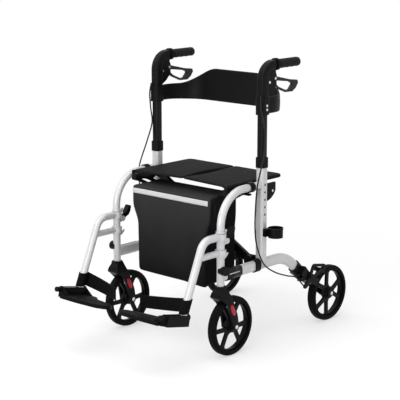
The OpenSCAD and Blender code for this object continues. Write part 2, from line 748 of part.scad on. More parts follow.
// Heel strap from the hanger's leg to the footplate's inner end
module heel_strap_solid() {
    s = leg_l - strap_h - strap_up;
    zc = leg_z0 - (s + 23) * cos(leg_a);
    yc = leg_y0 - (s + 23) * sin(leg_a);
    dy = foot_y - 5 - (yc + 14);
    turn = atan2(dy, side_x - strap_x);
    len_x = (side_x - strap_x) / cos(turn);
    difference() {
        union() {
            translate([side_x, 0, 0]) leg_tube(hang_d + 2 * strap_t, s, s + strap_h);
            translate([side_x, yc + 14, 0]) rotate([0, 0, -turn]) rotate([90, 0, 0])
                linear_extrude(strap_t) polygon([
                    [0, zc + 18], [0, zc - 18], [-len_x, foot_z], [-len_x, foot_z + 43]
                ]);
            foot_frame() translate([strap_x - side_x, -44, plate_t - block_h / 2 + gap])
                cube([strap_t, 40, 40]);
        }
        translate([side_x, 0, 0]) leg_tube(hang_d, s - 60, leg_l);
    }
}

module release_lever_solid() {
    translate([side_x, lock_y, lock_z]) difference() {
        plate_yz(8) {
            circle(r = 8, $fn = 48);
            polygon([[-2, 7], [6, -6], [22, 6], [33, 22], [37, 39], [29, 43], [19, 30], [9, 18]]);
        }
        rod_x(pin_r + run_fit, -20, 20, 0, 0);
    }
}

module seat_outline(tuck) {
    x0 = seat_gap / 2 + tuck;
    x1 = seat_x1 - tuck;
    y0 = seat_y0 + tuck;
    y1 = seat_y1 - tuck;
    r = seat_corner;
    yb = y0 + seat_bow;
    difference() {
        union() {
            translate([x0, yb]) square([x1 - x0, y1 - yb - r]);
            translate([x0, yb]) square([x1 - x0 - r, y1 - yb]);
            polygon([[x0, yb + 1], [x0, yb], [(x0 + x1) / 2, y0 + seat_bow * 0.32], [x1, y0], [x1, yb + 1]]);
            translate([x1 - r, y1 - r]) circle(r = r, $fn = 64);
        }
        translate([hinge_x - 9, lug_y - 1]) square([40, lug_t + 2]);
    }
}

// Padded seat panel: a low crown across its width and a drawn-in lower edge
module seat_panel_solid() {
    half = (seat_x1 - seat_gap / 2) / 2;
    r = half * half / (2 * seat_crown) + seat_crown / 2;
    difference() {
        intersection() {
            union() {
                translate([0, 0, seat_z - seat_t]) linear_extrude(4) seat_outline(seat_tuck);
                translate([0, 0, seat_z - seat_t + 3]) linear_extrude(seat_t - 3) seat_outline(0);
            }
            translate([seat_gap / 2 + half, seat_y0 - 10, seat_z - r]) rotate([-90, 0, 0])
                cylinder(r = r, h = seat_y1 - seat_y0 + 20, $fn = 1440);
        }
        rod_y(pin_r + run_fit, seat_y0 - 1, lug_y + 9, hinge_x, hinge_z);
        // bevel that thins the front edge
        rotate([90, 0, 90]) linear_extrude(hinge_x - 14) polygon([
            [seat_y0 - 1, seat_z - seat_t - 1], [seat_y0 - 1, seat_z - seat_t + seat_bevel],
            [seat_y0 + seat_bow + 3, seat_z - seat_t + seat_bevel],
            [seat_y0 + seat_bow + 50, seat_z - seat_t - 1]
        ]);
    }
}

// Bar under a seat panel's outer edge, with the two lugs and the panel's hinge pin
module seat_bar_solid() {
    translate([brace_x - bar_w / 2, seat_y0 - lug_t - gap, bar_top - bar_h])
        cube([bar_w, lug_y - seat_y0 + 2 * lug_t + gap + 10, bar_h]);
    for (y = [seat_y0 - lug_t - gap, lug_y]) {
        translate([hinge_x - 5.5, y, bar_top - 6]) cube([11, lug_t, hinge_z - bar_top + 6]);
        rod_y(5.5, y, y + lug_t, hinge_x, hinge_z);
    }
    rod_y(pin_r, seat_y0 - lug_t - gap, lug_y + lug_t / 2, hinge_x, hinge_z);
}

// Brace from the left lower rail up to the right seat bar
module brace_bar(y0) {
    difference() {
        union() {
            translate([brace_x, y0, brace_z0]) rotate([0, brace_a, 0])
                translate([-brace_len, 0, -brace_w / 2]) cube([brace_len, brace_t, brace_w]);
            rod_y(brace_w / 2 + 0.6, y0 + joint, y0 + brace_t - joint, brace_x, brace_z0);
        }
        translate([-brace_x - bar_w / 2 - 40, y0 - 1, bar_top - bar_h]) cube([bar_w + 40, brace_t + 2, 80]);
        translate([-brace_x - bar_w / 2 - 60, y0 - 1, bar_top - bar_h - 60]) cube([60, brace_t + 2, 200]);
        translate([-brace_x - 40, y0 - 1, bar_top]) cube([140, brace_t + 2, 100]);
        rod_y(pin_r + 2 + run_fit, y0 - 1, y0 + brace_t + 1, brace_x, brace_z0);
    }
}

module bag_solid() {
    difference() {
        union() {
            rotate([90, 0, 0]) translate([0, 0, -bag_y0 - bag_d]) linear_extrude(bag_d) polygon([
                [-bag_low / 2, bag_z0], [bag_low / 2, bag_z0], [bag_low / 2 + 4, bag_z0 + 180],
                [bag_w / 2, bag_z0 + 226], [bag_w / 2, bag_z1], [-bag_w / 2, bag_z1],
                [-bag_w / 2, bag_z0 + 226], [-bag_low / 2 - 4, bag_z0 + 180]
            ]);
            // the back of the bag is as wide at the bottom as at the top
            translate([0, bag_y0, bag_z0 + 10]) linear_extrude(bag_top) polygon([
                [-bag_low / 2 + 2, 20], [bag_low / 2 - 2, 20],
                [bag_w / 2 - joint, bag_d - joint], [-bag_w / 2 + joint, bag_d - joint]
            ]);
        }
        translate([-300, bag_y0 - 20, bag_z1 - 12]) rotate([35, 0, 0]) cube([600, 60, 40]);
    }
    // loops that hang on the seat bars
    for (i = [0, 1]) {
        mirror([i, 0, 0]) for (y = [seat_y0 + 2, seat_y0 + 46]) {
            translate([bag_w / 2 - 4, y, bag_z1 - 5])
                cube([brace_x + bar_w / 2 - bag_w / 2, 24, bar_top - bar_h - slide_fit - bag_z1 + 5]);
        }
    }
}

module holder_cup_solid() {
    difference() {
        union() {
            translate([cup_x, cup_y, cup_z]) cylinder(r = cup_r + cup_t, h = cup_h - 0.5, $fn = 96);
            translate([cup_x, cup_y, cup_z + cup_h - 6])
                cylinder(r = cup_r + cup_t + cup_lip, h = 6, $fn = 96);
            translate([side_x + upright_w / 2, upright_y - 10, cup_z + cup_h - 30])
                cube([cup_x - side_x - upright_w / 2 - cup_r + 6, 34, 26]);
        }
        translate([cup_x, cup_y, cup_z + 3]) cylinder(r = cup_r, h = cup_h, $fn = 96);
    }
}

module left_frame() color(silver) left() frame_solid();
module right_frame() color(silver) right() frame_solid();
module left_knuckle() color(black) left() knuckle_solid(brace_ya);
module right_knuckle() color(black) right() knuckle_solid(brace_yb);
module left_saddle() color(black) left() saddle_solid();
module right_saddle() color(black) right() saddle_solid();
module left_collar() color(black) left() collar_solid();
module right_collar() color(black) right() collar_solid();
module left_handle_tube() color(black) left() handle_tube_solid();
module right_handle_tube() color(black) right() handle_tube_solid();
module left_handle_shell() color(black) left() handle_shell_solid();
module right_handle_shell() color(black) right() handle_shell_solid();
module left_grip() color(grey) left() grip_solid();
module right_grip() color(grey) right() grip_solid();
module left_brake_lever() color(black) left() brake_lever_solid();
module right_brake_lever() color(black) right() brake_lever_solid();
module left_handle_bolts() color(steel) left() handle_bolts_solid();
module right_handle_bolts() color(steel) right() handle_bolts_solid();
module left_back_bracket() color(black) left() back_bracket_solid();
module right_back_bracket() color(black) right() back_bracket_solid();
module left_brake_cable() color(black) left() brake_cable_solid(cable_pts);
module right_brake_cable() color(black) right() brake_cable_solid(cable_pts_r);
module left_caster_fork() color(black) left() caster_fork_solid();
module right_caster_fork() color(black) right() caster_fork_solid();
module left_front_axle() color(steel) left() axle_solid(side_x, trail, fork_w / 2);
module right_front_axle() color(steel) right() axle_solid(side_x, trail, fork_w / 2);
module left_front_rim() color(black) left() rim_solid(side_x, trail, 60);
module right_front_rim() color(black) right() rim_solid(side_x, trail, 60);
module left_front_tyre() color(grey) left() tyre_solid(side_x, trail);
module right_front_tyre() color(grey) right() tyre_solid(side_x, trail);
module left_rear_fork() color(black) left() rear_fork_solid();
module right_rear_fork() color(black) right() rear_fork_solid();
module left_rear_axle() color(steel) left() axle_solid(rear_x, rear_y, slot_w / 2);
module right_rear_axle() color(steel) right() axle_solid(rear_x, rear_y, slot_w / 2);
module left_rear_rim() color(black) left() rim_solid(rear_x, rear_y, 90);
module right_rear_rim() color(black) right() rim_solid(rear_x, rear_y, 90);
module left_rear_tyre() color(grey) left() tyre_solid(rear_x, rear_y);
module right_rear_tyre() color(grey) right() tyre_solid(rear_x, rear_y);
module left_brake_arm() color(black) left() brake_arm_solid();
module right_brake_arm() color(black) right() brake_arm_solid();
module left_hanger() color(silver) left() hanger_solid();
module right_hanger() color(silver) right() hanger_solid();
module left_hinge_block() color(black) left() hinge_block_solid();
module right_hinge_block() color(black) right() hinge_block_solid();
module left_footplate() color(black) left() footplate_solid();
module right_footplate() color(black) right() footplate_solid();
module left_heel_strap() color(cloth) left() heel_strap_solid();
module right_heel_strap() color(cloth) right() heel_strap_solid();
module left_release_lever() color(black) left() release_lever_solid();
module right_release_lever() color(black) right() release_lever_solid();
module left_seat_panel() color(cloth) left() seat_panel_solid();
module right_seat_panel() color(cloth) right() seat_panel_solid();
module left_seat_bar() color(black) left() seat_bar_solid();
module right_seat_bar() color(black) right() seat_bar_solid();

// Brace from the left rail to the right seat bar, with the middle pivot pin
module brace_a() color(black) left() {
    brace_bar(brace_ya);
    rod_y(6, brace_yb - gap - 1, brace_ya + 2, 0, (brace_z0 + brace_z1) / 2);
    rod_y(11, brace_yb - 5, brace_yb - gap, 0, (brace_z0 + brace_z1) / 2);
}

// Brace from the right rail to the left seat bar
module brace_b() color(black) right() difference() {
    brace_bar(brace_yb);
    rod_y(6 + run_fit, brace_yb - 1, brace_yb + brace_t + 1, 0, (brace_z0 + brace_z1) / 2);
}

module bag() color(cloth) left() bag_solid();
module backrest() color(cloth) left() backrest_solid();
module holder_cup() color(black) left() holder_cup_solid();

left_frame();
right_frame();
left_knuckle();
right_knuckle();
left_saddle();
right_saddle();
left_collar();
right_collar();
left_handle_tube();
right_handle_tube();
left_handle_shell();
right_handle_shell();
left_grip();
right_grip();
left_brake_lever();
right_brake_lever();
left_handle_bolts();
right_handle_bolts();
left_back_bracket();
right_back_bracket();
left_brake_cable();
right_brake_cable();
left_caster_fork();
right_caster_fork();
left_front_axle();
right_front_axle();
left_front_rim();
right_front_rim();
left_front_tyre();
right_front_tyre();
left_rear_fork();
right_rear_fork();
left_rear_axle();
right_rear_axle();
left_rear_rim();
right_rear_rim();
left_rear_tyre();
right_rear_tyre();
left_brake_arm();
right_brake_arm();
left_hanger();
right_hanger();
left_hinge_block();
right_hinge_block();
left_footplate();
right_footplate();
left_heel_strap();
right_heel_strap();
left_release_lever();
right_release_lever();
left_seat_panel();
right_seat_panel();
left_seat_bar();
right_seat_bar();
brace_a();
brace_b();
bag();
backrest();
holder_cup();
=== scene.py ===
import json
from math import cos, exp, pi, radians, sin

import bmesh
import bpy
from mathutils import Matrix, Vector, noise


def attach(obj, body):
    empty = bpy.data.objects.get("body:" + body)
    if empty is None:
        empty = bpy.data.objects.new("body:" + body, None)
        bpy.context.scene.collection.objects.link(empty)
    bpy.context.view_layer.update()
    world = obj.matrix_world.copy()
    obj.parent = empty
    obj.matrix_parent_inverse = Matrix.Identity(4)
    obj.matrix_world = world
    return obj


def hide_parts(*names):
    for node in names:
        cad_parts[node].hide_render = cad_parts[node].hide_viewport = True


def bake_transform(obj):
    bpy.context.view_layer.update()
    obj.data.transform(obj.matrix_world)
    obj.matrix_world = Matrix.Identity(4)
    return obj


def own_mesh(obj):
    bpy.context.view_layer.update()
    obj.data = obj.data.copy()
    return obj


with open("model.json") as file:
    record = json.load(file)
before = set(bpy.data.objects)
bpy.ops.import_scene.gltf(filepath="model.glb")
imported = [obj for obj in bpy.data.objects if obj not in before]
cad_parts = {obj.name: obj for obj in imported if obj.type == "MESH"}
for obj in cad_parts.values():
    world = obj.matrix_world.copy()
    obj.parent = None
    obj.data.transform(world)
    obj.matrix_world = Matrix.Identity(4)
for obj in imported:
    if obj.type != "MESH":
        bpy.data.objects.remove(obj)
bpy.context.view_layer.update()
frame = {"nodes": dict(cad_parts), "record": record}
nodes = frame["nodes"]
behaviour = frame["record"]["behaviour"]
body_of = {node: body for body, names in behaviour["bodies"].items() for node in names}
slot_of = {part["node"]: part["material_slot"] for part in frame["record"]["subparts"]}
anchor = {joint["name"]: Vector(joint["pos_m"]) for joint in behaviour["joints"] if "pos_m" in joint}
SIDES = (("left", 1), ("right", -1))


# sizes and places are in millimetres, counted from the floor between the two front posts

ROW_ORIGIN = Vector((15.25, 193.1674, 0))


def mm(x, y, z):
    """A place in millimetres as metres in the row frame."""
    return (Vector((x, y, z)) - ROW_ORIGIN) / 1000


def pivot(joint):
    """A joint's place in millimetres, to a hundredth."""
    return Vector([round(part, 2) for part in anchor[joint] * 1000 + ROW_ORIGIN])


POST_X = pivot("left_caster_swivel").x


def ease(start, end, value):
    """From 0 at the start to 1 at the end, level at both."""
    t = min(1, max(0, (value - start) / (end - start)))
    return t * t * (3 - 2 * t)


# camera and light

CAMERA_PLACE = mm(2916, -3073.5, 1424.3)
CAMERA_TURN, CAMERA_RISE = radians(42), radians(12.38)
LENS, SENSOR = 117.74, 36


def place_camera():
    camera = bpy.data.objects.new("camera", bpy.data.cameras.new("camera"))
    camera.data.lens = LENS
    camera.data.sensor_width = SENSOR
    right = Vector((cos(CAMERA_TURN), sin(CAMERA_TURN), 0))
    level = Vector((sin(CAMERA_TURN), -cos(CAMERA_TURN), 0))
    back = level * cos(CAMERA_RISE) + Vector((0, 0, sin(CAMERA_RISE)))
    turn = Matrix((right, back.cross(right), back)).transposed().to_4x4()
    camera.matrix_world = Matrix.Translation(CAMERA_PLACE) @ turn
    bpy.context.scene.collection.objects.link(camera)
    bpy.context.scene.camera = camera
    bpy.context.scene.view_settings.view_transform = "Standard"


def softbox(name, place, aim, size, power):
    """A rectangular lamp; places and sizes in metres."""
    lamp = bpy.data.objects.new(name, bpy.data.lights.new(name, "AREA"))
    lamp.data.shape = "RECTANGLE"
    lamp.data.size, lamp.data.size_y = size
    lamp.data.energy = power
    turn = (Vector(place) - Vector(aim)).to_track_quat("Z", "Y")
    lamp.matrix_world = Matrix.Translation(place) @ turn.to_matrix().to_4x4()
    bpy.context.scene.collection.objects.link(lamp)


place_camera()
softbox("key_softbox", (0.3, -2.6, 2.9), aim=(0, 0, 0.4), size=(3.0, 2.0), power=36)
softbox("top_softbox", (-0.2, -0.5, 3.3), aim=(0, -0.1, 0.3), size=(4.0, 4.0), power=68)
softbox("side_softbox", (-2.8, -0.9, 1.7), aim=(0, 0, 0.5), size=(1.6, 2.2), power=16)
softbox("front_softbox", (0.5, -3.2, 0.8), aim=(0, 0, 0.4), size=(2.2, 1.3), power=42)
softbox("right_softbox", (3.0, -0.7, 1.3), aim=(0, 0, 0.4), size=(1.4, 2.0), power=16)


# materials

class Socket:
    """An output socket; arithmetic on it adds Math nodes."""

    def __init__(self, finish, socket):
        self.finish = finish
        self.socket = socket

    def math(self, operation, a, b):
        return self.finish.node("ShaderNodeMath", {"operation": operation}, {0: a, 1: b})

    def __add__(self, other):
        return self.math("ADD", self, other)

    def __sub__(self, other):
        return self.math("SUBTRACT", self, other)

    def __rsub__(self, other):
        return self.math("SUBTRACT", other, self)

    def __mul__(self, other):
        return self.math("MULTIPLY", self, other)

    def __gt__(self, other):
        return self.math("GREATER_THAN", self, other)

    def __lt__(self, other):
        return self.math("LESS_THAN", self, other)

    def __pow__(self, other):
        return self.math("POWER", self, other)

    def __abs__(self):
        return self.math("ABSOLUTE", self, 0)

    __radd__ = __add__
    __rmul__ = __mul__


class Finish:
    """One material, or the world, built node by node; textures are scaled in metres."""

    def __init__(self, name, holder=None):
        self.material = holder or bpy.data.materials.new(name)
        self.material.use_nodes = True
        self.tree = self.material.node_tree
        self.tree.nodes.clear()
        self.place = None

    def node(self, kind, settings=None, inputs=None, output=0):
        made = self.tree.nodes.new(kind)
        for key, value in (settings or {}).items():
            setattr(made, key, value)
        for key, value in (inputs or {}).items():
            if isinstance(value, Socket):
                self.tree.links.new(value.socket, made.inputs[key])
            else:
                made.inputs[key].default_value = value
        return Socket(self, made.outputs[output]) if made.outputs else None

    def coords(self, scale=(1, 1, 1), turn=(0, 0, 0)):
        if self.place is None:
            self.place = self.node("ShaderNodeTexCoord", output="Object")
        inputs = {"Vector": self.place, "Scale": scale, "Rotation": turn}
        return self.node("ShaderNodeMapping", inputs=inputs)

    def axes(self, vector):
        first = self.node("ShaderNodeSeparateXYZ", inputs={0: vector})
        return [Socket(self, part) for part in first.socket.node.outputs]

    def noise(self, scale, detail=3, rough=0.55, stretch=(1, 1, 1)):
        inputs = {"Vector": self.coords(stretch), "Scale": scale, "Detail": detail, "Roughness": rough}
        return self.node("ShaderNodeTexNoise", inputs=inputs)

    def wave(self, value, pitch):
        """A sine wave along a value, repeating at a pitch."""
        return self.node("ShaderNodeMath", {"operation": "SINE"}, {0: value * (2 * pi / pitch)})

    def clamp(self, value):
        return self.node("ShaderNodeClamp", inputs={0: value})

    def range(self, value, low, high):
        return self.node("ShaderNodeMapRange", inputs={0: value, 3: low, 4: high})

    def mix(self, share, none, full):
        """A colour between the one at share 0 and the one at share 1."""
        return self.node("ShaderNodeMix", {"data_type": "RGBA"}, {0: share, 6: none, 7: full}, output=2)

    def facing(self):
        """The surface normal's parts, each from 0 to 1."""
        normal = self.node("ShaderNodeNewGeometry", output="Normal")
        return [abs(part) for part in self.axes(normal)]

    def seen(self):
        """1 for what the camera sees, straight or in a mirror or glass."""
        camera, glossy, through = [self.node("ShaderNodeLightPath", output=f"Is {kind} Ray")
                                   for kind in ("Camera", "Glossy", "Transmission")]
        return self.clamp(camera + glossy + through)

    def weave(self, pitch):
        """Plain weave on the face's own plane."""
        x, y, z = [self.wave(part, pitch) for part in self.axes(self.coords())]
        nx, ny, nz = self.facing()
        return (x * z) * ny + (y * z) * nx + (x * y) * nz

    def surface(self, colour, rough, bump, depth, strength, **fixed):
        """The finished material; fixed values are named as the shader's inputs, with _ for a space."""
        inputs = {key.replace("_", " "): value for key, value in fixed.items()}
        inputs["Base Color"] = colour
        inputs["Roughness"] = rough
        relief = {"Height": bump, "Strength": strength, "Distance": depth}
        inputs["Normal"] = self.node("ShaderNodeBump", inputs=relief)
        shader = self.node("ShaderNodeBsdfPrincipled", inputs=inputs)
        self.node("ShaderNodeOutputMaterial", inputs={"Surface": shader})
        return self.material


def tone(value, warmth=0.0):
    """A grey, slightly cool unless it is given warmth."""
    return (value * (1 + warmth), value, value * (1 - warmth) * 1.02, 1)


def silver_paint():
    look = Finish("silver_paint")
    cloud = look.noise(9, detail=4)
    flake = look.noise(2600, detail=1, rough=0.4)
    colour = look.mix(look.clamp(cloud * 0.7 + flake * 0.3), tone(0.43), tone(0.53))
    return look.surface(colour, look.range(cloud, 0.30, 0.42), bump=flake, depth=0.00004, strength=0.25,
                        Metallic=0.25, Coat_Weight=0.15, Coat_Roughness=0.25)


def black_paint():
    look = Finish("black_paint")
    peel = look.noise(420, detail=2)
    cloud = look.noise(14, detail=4)
    colour = look.mix(cloud, tone(0.0015), tone(0.004))
    return look.surface(colour, look.range(cloud, 0.20, 0.30), bump=peel, depth=0.0001, strength=0.12,
                        Specular_IOR_Level=0.11)


def moulded_plastic(name, dark, light, smooth, rough, grain=1500):
    look = Finish(name)
    pores = look.noise(grain, detail=2, rough=0.6)
    cloud = look.noise(17, detail=4)
    scuff = look.clamp((look.noise(60, detail=6, rough=0.7, stretch=(1, 0.35, 1)) - 0.62) * 4)
    colour = look.mix(scuff * 0.35, look.mix(cloud, tone(dark), tone(light)), tone(light * 2))
    return look.surface(colour, look.range(cloud, smooth, rough), bump=pores, depth=0.00012, strength=0.28,
                        Specular_IOR_Level=0.07)


def lever_gloss():
    look = Finish("black_gloss")
    cloud = look.noise(30)
    colour = look.mix(cloud, tone(0.002), tone(0.004))
    peel = look.noise(700, detail=2)
    return look.surface(colour, look.range(cloud, 0.18, 0.28), bump=peel, depth=0.00005, strength=0.1,
                        Specular_IOR_Level=0.2, Coat_Weight=0.06, Coat_Roughness=0.12)


def grip_rubber():
    look = Finish("grip_rubber")
    pitch = 0.0052
    x, y, z = look.axes(look.coords())
    scales = look.wave(y, pitch) * look.wave(x - z, pitch)
    cloud = look.noise(40, detail=4)
    colour = look.mix(cloud, tone(0.003), tone(0.008))
    relief = scales * 0.6 + look.noise(900, detail=2) * 0.4
    return look.surface(colour, look.range(cloud, 0.45, 0.62), bump=relief, depth=0.0006, strength=0.5,
                        Specular_IOR_Level=0.1)


def tyre_rubber():
    look = Finish("tyre")
    dust = look.clamp((look.noise(26, detail=6, rough=0.65) - 0.5) * 2.2)
    colour = look.mix(dust, tone(0.002), tone(0.007, warmth=0.03))
    return look.surface(colour, look.range(dust, 0.6, 0.8), bump=look.noise(800), depth=0.0002, strength=0.35,
                        Specular_IOR_Level=0.05)


def cable_jacket():
    look = Finish("cable_jacket")
    cloud = look.noise(90)
    colour = look.mix(cloud, tone(0.006), tone(0.013))
    pores = look.noise(1200, detail=2)
    return look.surface(colour, look.range(cloud, 0.3, 0.45), bump=pores, depth=0.00006, strength=0.2,
                        Specular_IOR_Level=0.12)


def bright_steel():
    look = Finish("bright_steel")
    brushed = look.noise(300, rough=0.5, stretch=(1, 9, 9))
    colour = look.mix(brushed, tone(0.55), tone(0.78))
    return look.surface(colour, look.range(brushed, 0.18, 0.34), bump=brushed, depth=0.00004, strength=0.2,
                        Metallic=1.0)


def footplate_plastic():
    look = Finish("plate_plastic")
    plate_lean, rib_pitch = radians(12), 0.0085
    along = look.axes(look.coords(turn=(plate_lean, 0, 0)))[1]
    on_top = look.facing()[2] > 0.9
    rib = look.clamp(look.wave(along, rib_pitch) * 3 + 0.5) * on_top
    cloud = look.noise(30, detail=4)
    # painted shade: the grooves between the ribs are drawn darker than the rib crests, over random tone
    colour = look.mix(rib * 0.6 + cloud * 0.4, tone(0.002), tone(0.007))
    relief = rib + look.noise(1100, detail=2) * 0.12
    return look.surface(colour, look.range(cloud, 0.5, 0.68), bump=relief, depth=0.0011, strength=0.6,
                        Specular_IOR_Level=0.05)


def seat_cloth():
    look = Finish("seat_cloth")
    weave = look.weave(0.0016)
    cloud = look.noise(7, detail=5)
    colour = look.mix(look.clamp(cloud * 0.8 + weave * 0.15), tone(0.008), tone(0.014))
    relief = weave * 0.5 + look.noise(70, detail=4) * 0.6
    return look.surface(colour, look.range(cloud, 0.52, 0.7), bump=relief, depth=0.00035, strength=0.4,
                        Specular_IOR_Level=0.02)


def bag_cloth():
    """Painted shade darker at the bottom, in the hollows of the crease relief and on every side-facing
    surface such as the side gussets; painted sheen lighter towards the flap.
    """
    look = Finish("bag_cloth")
    weave = look.weave(0.0014)
    crease = look.noise(9, detail=5, rough=0.6, stretch=(1, 1, 0.6))
    height = look.axes(look.coords())[2] - 0.23
    # painted shade: every surface that faces sideways is drawn darker
    aside = look.facing()[0]
    # painted shade and sheen: darker lower down and in the hollows of the crease relief, lighter towards the
    # flap
    front = look.clamp(crease * 0.4 + weave * 0.1 + height * 3.0 - 0.2)
    colour = look.mix(look.clamp(front - aside * aside * 0.7), tone(0.004), tone(0.029))
    relief = weave * 0.12 + crease
    return look.surface(colour, look.range(crease, 0.55, 0.72), bump=relief, depth=0.003, strength=0.3,
                        Specular_IOR_Level=0.03)


def back_foam():
    look = Finish("back_foam")
    pores = look.noise(1300, detail=2)
    cloud = look.noise(6, detail=4)
    colour = look.mix(cloud, tone(0.002), tone(0.005))
    return look.surface(colour, look.range(cloud, 0.36, 0.48), bump=pores, depth=0.00015, strength=0.25,
                        Specular_IOR_Level=0.07)


def webbing():
    look = Finish("webbing")
    x, y, z = look.axes(look.coords())
    rib = look.wave(z, 0.0024) * look.wave(x + y, 0.0030)
    cloud = look.noise(30, detail=4)
    colour = look.mix(look.clamp(rib * 0.3 + cloud * 0.7), tone(0.002), tone(0.006))
    return look.surface(colour, look.range(cloud, 0.6, 0.8), bump=rib, depth=0.0004, strength=0.5,
                        Specular_IOR_Level=0.04)


def reflective_tape():
    look = Finish("reflective_tape")
    pitch = 0.003
    x, _, z = look.axes(look.coords())
    cell = look.wave(x + z, pitch) * look.wave(x - z, pitch)
    cloud = look.noise(25, detail=4)
    colour = look.mix(look.clamp(cloud * 0.8 + cell * 0.2), tone(0.40), tone(0.54))
    return look.surface(colour, look.range(cloud, 0.35, 0.5), bump=cell, depth=0.0001, strength=0.25,
                        Metallic=0.2)


def red_reflector():
    look = Finish("red_reflector")
    cloud = look.noise(120)
    colour = look.mix(cloud, (0.26, 0.003, 0.010, 1), (0.40, 0.008, 0.020, 1))
    ripple = look.noise(500, detail=2)
    return look.surface(colour, look.range(cloud, 0.18, 0.3), bump=ripple, depth=0.00006, strength=0.2,
                        Specular_IOR_Level=0.2, Coat_Weight=0.15, Coat_Roughness=0.1)


def rail_wrap():
    """Black, with a plain light stripe on the sides."""
    look = Finish("rail_wrap")
    middle = mm(0, 57.3, 279.5)
    half_length, half_height = 0.026, 0.0016
    y, z = look.axes(look.coords())[1:]
    aside = look.facing()[0] > 0.6
    stripe = (abs(z - middle.z) < half_height) * (abs(y - middle.y) < half_length) * aside
    cloud = look.noise(60)
    colour = look.mix(stripe, look.mix(cloud, tone(0.005), tone(0.011)), tone(0.42))
    peel = look.noise(800, detail=2)
    return look.surface(colour, look.range(cloud, 0.28, 0.4), bump=peel, depth=0.00005, strength=0.15,
                        Specular_IOR_Level=0.12)


FINISH = {
    "silver_paint": silver_paint(), "black_paint": black_paint(),
    "black_plastic": moulded_plastic("black_plastic", 0.002, 0.005, 0.30, 0.44),
    "black_gloss": lever_gloss(),
    "wheel_plastic": moulded_plastic("wheel_plastic", 0.002, 0.006, 0.28, 0.42, grain=1100),
    "plate_plastic": footplate_plastic(), "grip_rubber": grip_rubber(), "tyre": tyre_rubber(),
    "cable_jacket": cable_jacket(), "bright_steel": bright_steel(), "seat_cloth": seat_cloth(),
    "bag_cloth": bag_cloth(), "back_foam": back_foam(), "webbing": webbing(),
    "reflective_tape": reflective_tape(), "red_reflector": red_reflector(), "rail_wrap": rail_wrap(),
}
for name, node in nodes.items():
    node.data.materials.clear()
    node.data.materials.append(FINISH[slot_of[name]])


# making pieces

def piece(name, bm, finish, slot=None, body=None, hides=(), crease=35, level=0, wall=0.0, even=False):
    """Turns a bmesh into a finished object that rides on a body and may stand for CAD nodes.

    The slot is not used; crease is in degrees, level is the
    subdivision and wall the thickness of a sheet.
    """
    bmesh.ops.remove_doubles(bm, verts=bm.verts, dist=2e-6)
    bmesh.ops.recalc_face_normals(bm, faces=bm.faces)
    mesh = bpy.data.meshes.new(name)
    bm.to_mesh(mesh)
    bm.free()
    mesh.shade_smooth()
    if crease:
        mesh.set_sharp_from_angle(angle=radians(crease))
    mesh.materials.append(FINISH[finish])
    made = bpy.data.objects.new(name, mesh)
    bpy.context.scene.collection.objects.link(made)
    if wall:
        thick = made.modifiers.new("wall", "SOLIDIFY")
        thick.thickness, thick.offset, thick.use_even_offset = wall / 1000, 0, True
    if level:
        fine = made.modifiers.new("fine", "SUBSURF")
        fine.levels = fine.render_levels = level
    if even:
        made.modifiers.new("even", "WEIGHTED_NORMAL").keep_sharp = True
    slot = slot or finish
    if hides:
        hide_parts(*hides)
    if body:
        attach(made, body)
    return made


def moulded(node, bm, crease=35):
    """A piece that stands for one CAD node, with that node's finish and body."""
    piece(node + "_moulded", bm, slot_of[node], body=body_of[node], hides=(node,), crease=crease, even=True)


def edges_of(made):
    """The edges of what an operator has just made, each once."""
    return list(dict.fromkeys(edge for vert in made["verts"] for edge in vert.link_edges))


def bent(edges, angle):
    """The edges whose two faces turn by more than an angle in degrees."""
    return [edge for edge in edges if edge.calc_face_angle(0) > radians(angle)]


# degrees between two faces past which their edge is rounded
CAP_ANGLE = 57
MOULDED_ANGLE = 32
TAB_ANGLE = 17


def rounding(bm, edges, width):
    """Bevels edges into a round of two segments."""
    bmesh.ops.bevel(bm, geom=edges, offset=width / 1000, offset_type="OFFSET", affect="EDGES", segments=2,
                    profile=0.5, material=-1, clamp_overlap=True)


def shift_grown(bm, grown, x=0.0, y=0.0):
    """Moves the vertices that an extrusion has just made."""
    verts = [part for part in grown["geom"] if isinstance(part, bmesh.types.BMVert)]
    bmesh.ops.translate(bm, verts=verts, vec=(x / 1000, y / 1000, 0))


def cut(bm, place, along):
    """Adds edges where a plane crosses the faces."""
    bmesh.ops.bisect_plane(bm, geom=[*bm.verts, *bm.edges, *bm.faces], plane_co=place, plane_no=along)


def drawn_in(point, half, radius):
    """The nearest place in a box that is smaller by a radius on every side."""
    return Vector([max(radius - size, min(size - radius, part)) for part, size in zip(point, half)])


def within(core, point, reach):
    """The point, brought back to a reach from the core if it is further away."""
    out = point - core
    return core + out * min(1, reach / max(out.length, 1e-6))


def knob(bm, place, axis, radius, height, rim=0.25):
    """A round head standing on a place along an axis; its rim is rounded by a share of its height."""
    turn = Vector(axis).to_track_quat("Z", "Y").to_matrix().to_4x4()
    stand = Matrix.Translation(mm(*place)) @ turn @ Matrix.Translation((0, 0, height / 2000))
    made = bmesh.ops.create_cone(bm, cap_ends=True, segments=24, radius1=radius / 1000,
                                 radius2=radius / 1000, depth=height / 1000, matrix=stand)
    rounding(bm, bent(edges_of(made), CAP_ANGLE), height * rim)


# moulded parts with rounded edges

NECK_LOW, NECK_HIGH, NECK_CORE = 207.0, 233.0, 18.5
NECK_NARROWER = 0.36
PADDLE_ROOT, PADDLE_START = 14.0, 22.0
PADDLE_ALONG = Vector((0, 0.62, 0.785))
PADDLE_WIDER = 2.4
ROUNDED = {
    "handle_shell": 3.5, "back_bracket": 2.5, "collar": 2.5, "brake_lever": 3.2, "rear_fork": 2.5,
    "hinge_block": 3.0, "footplate": 2.2, "knuckle": 2.0, "saddle": 1.6, "seat_bar": 1.5,
}


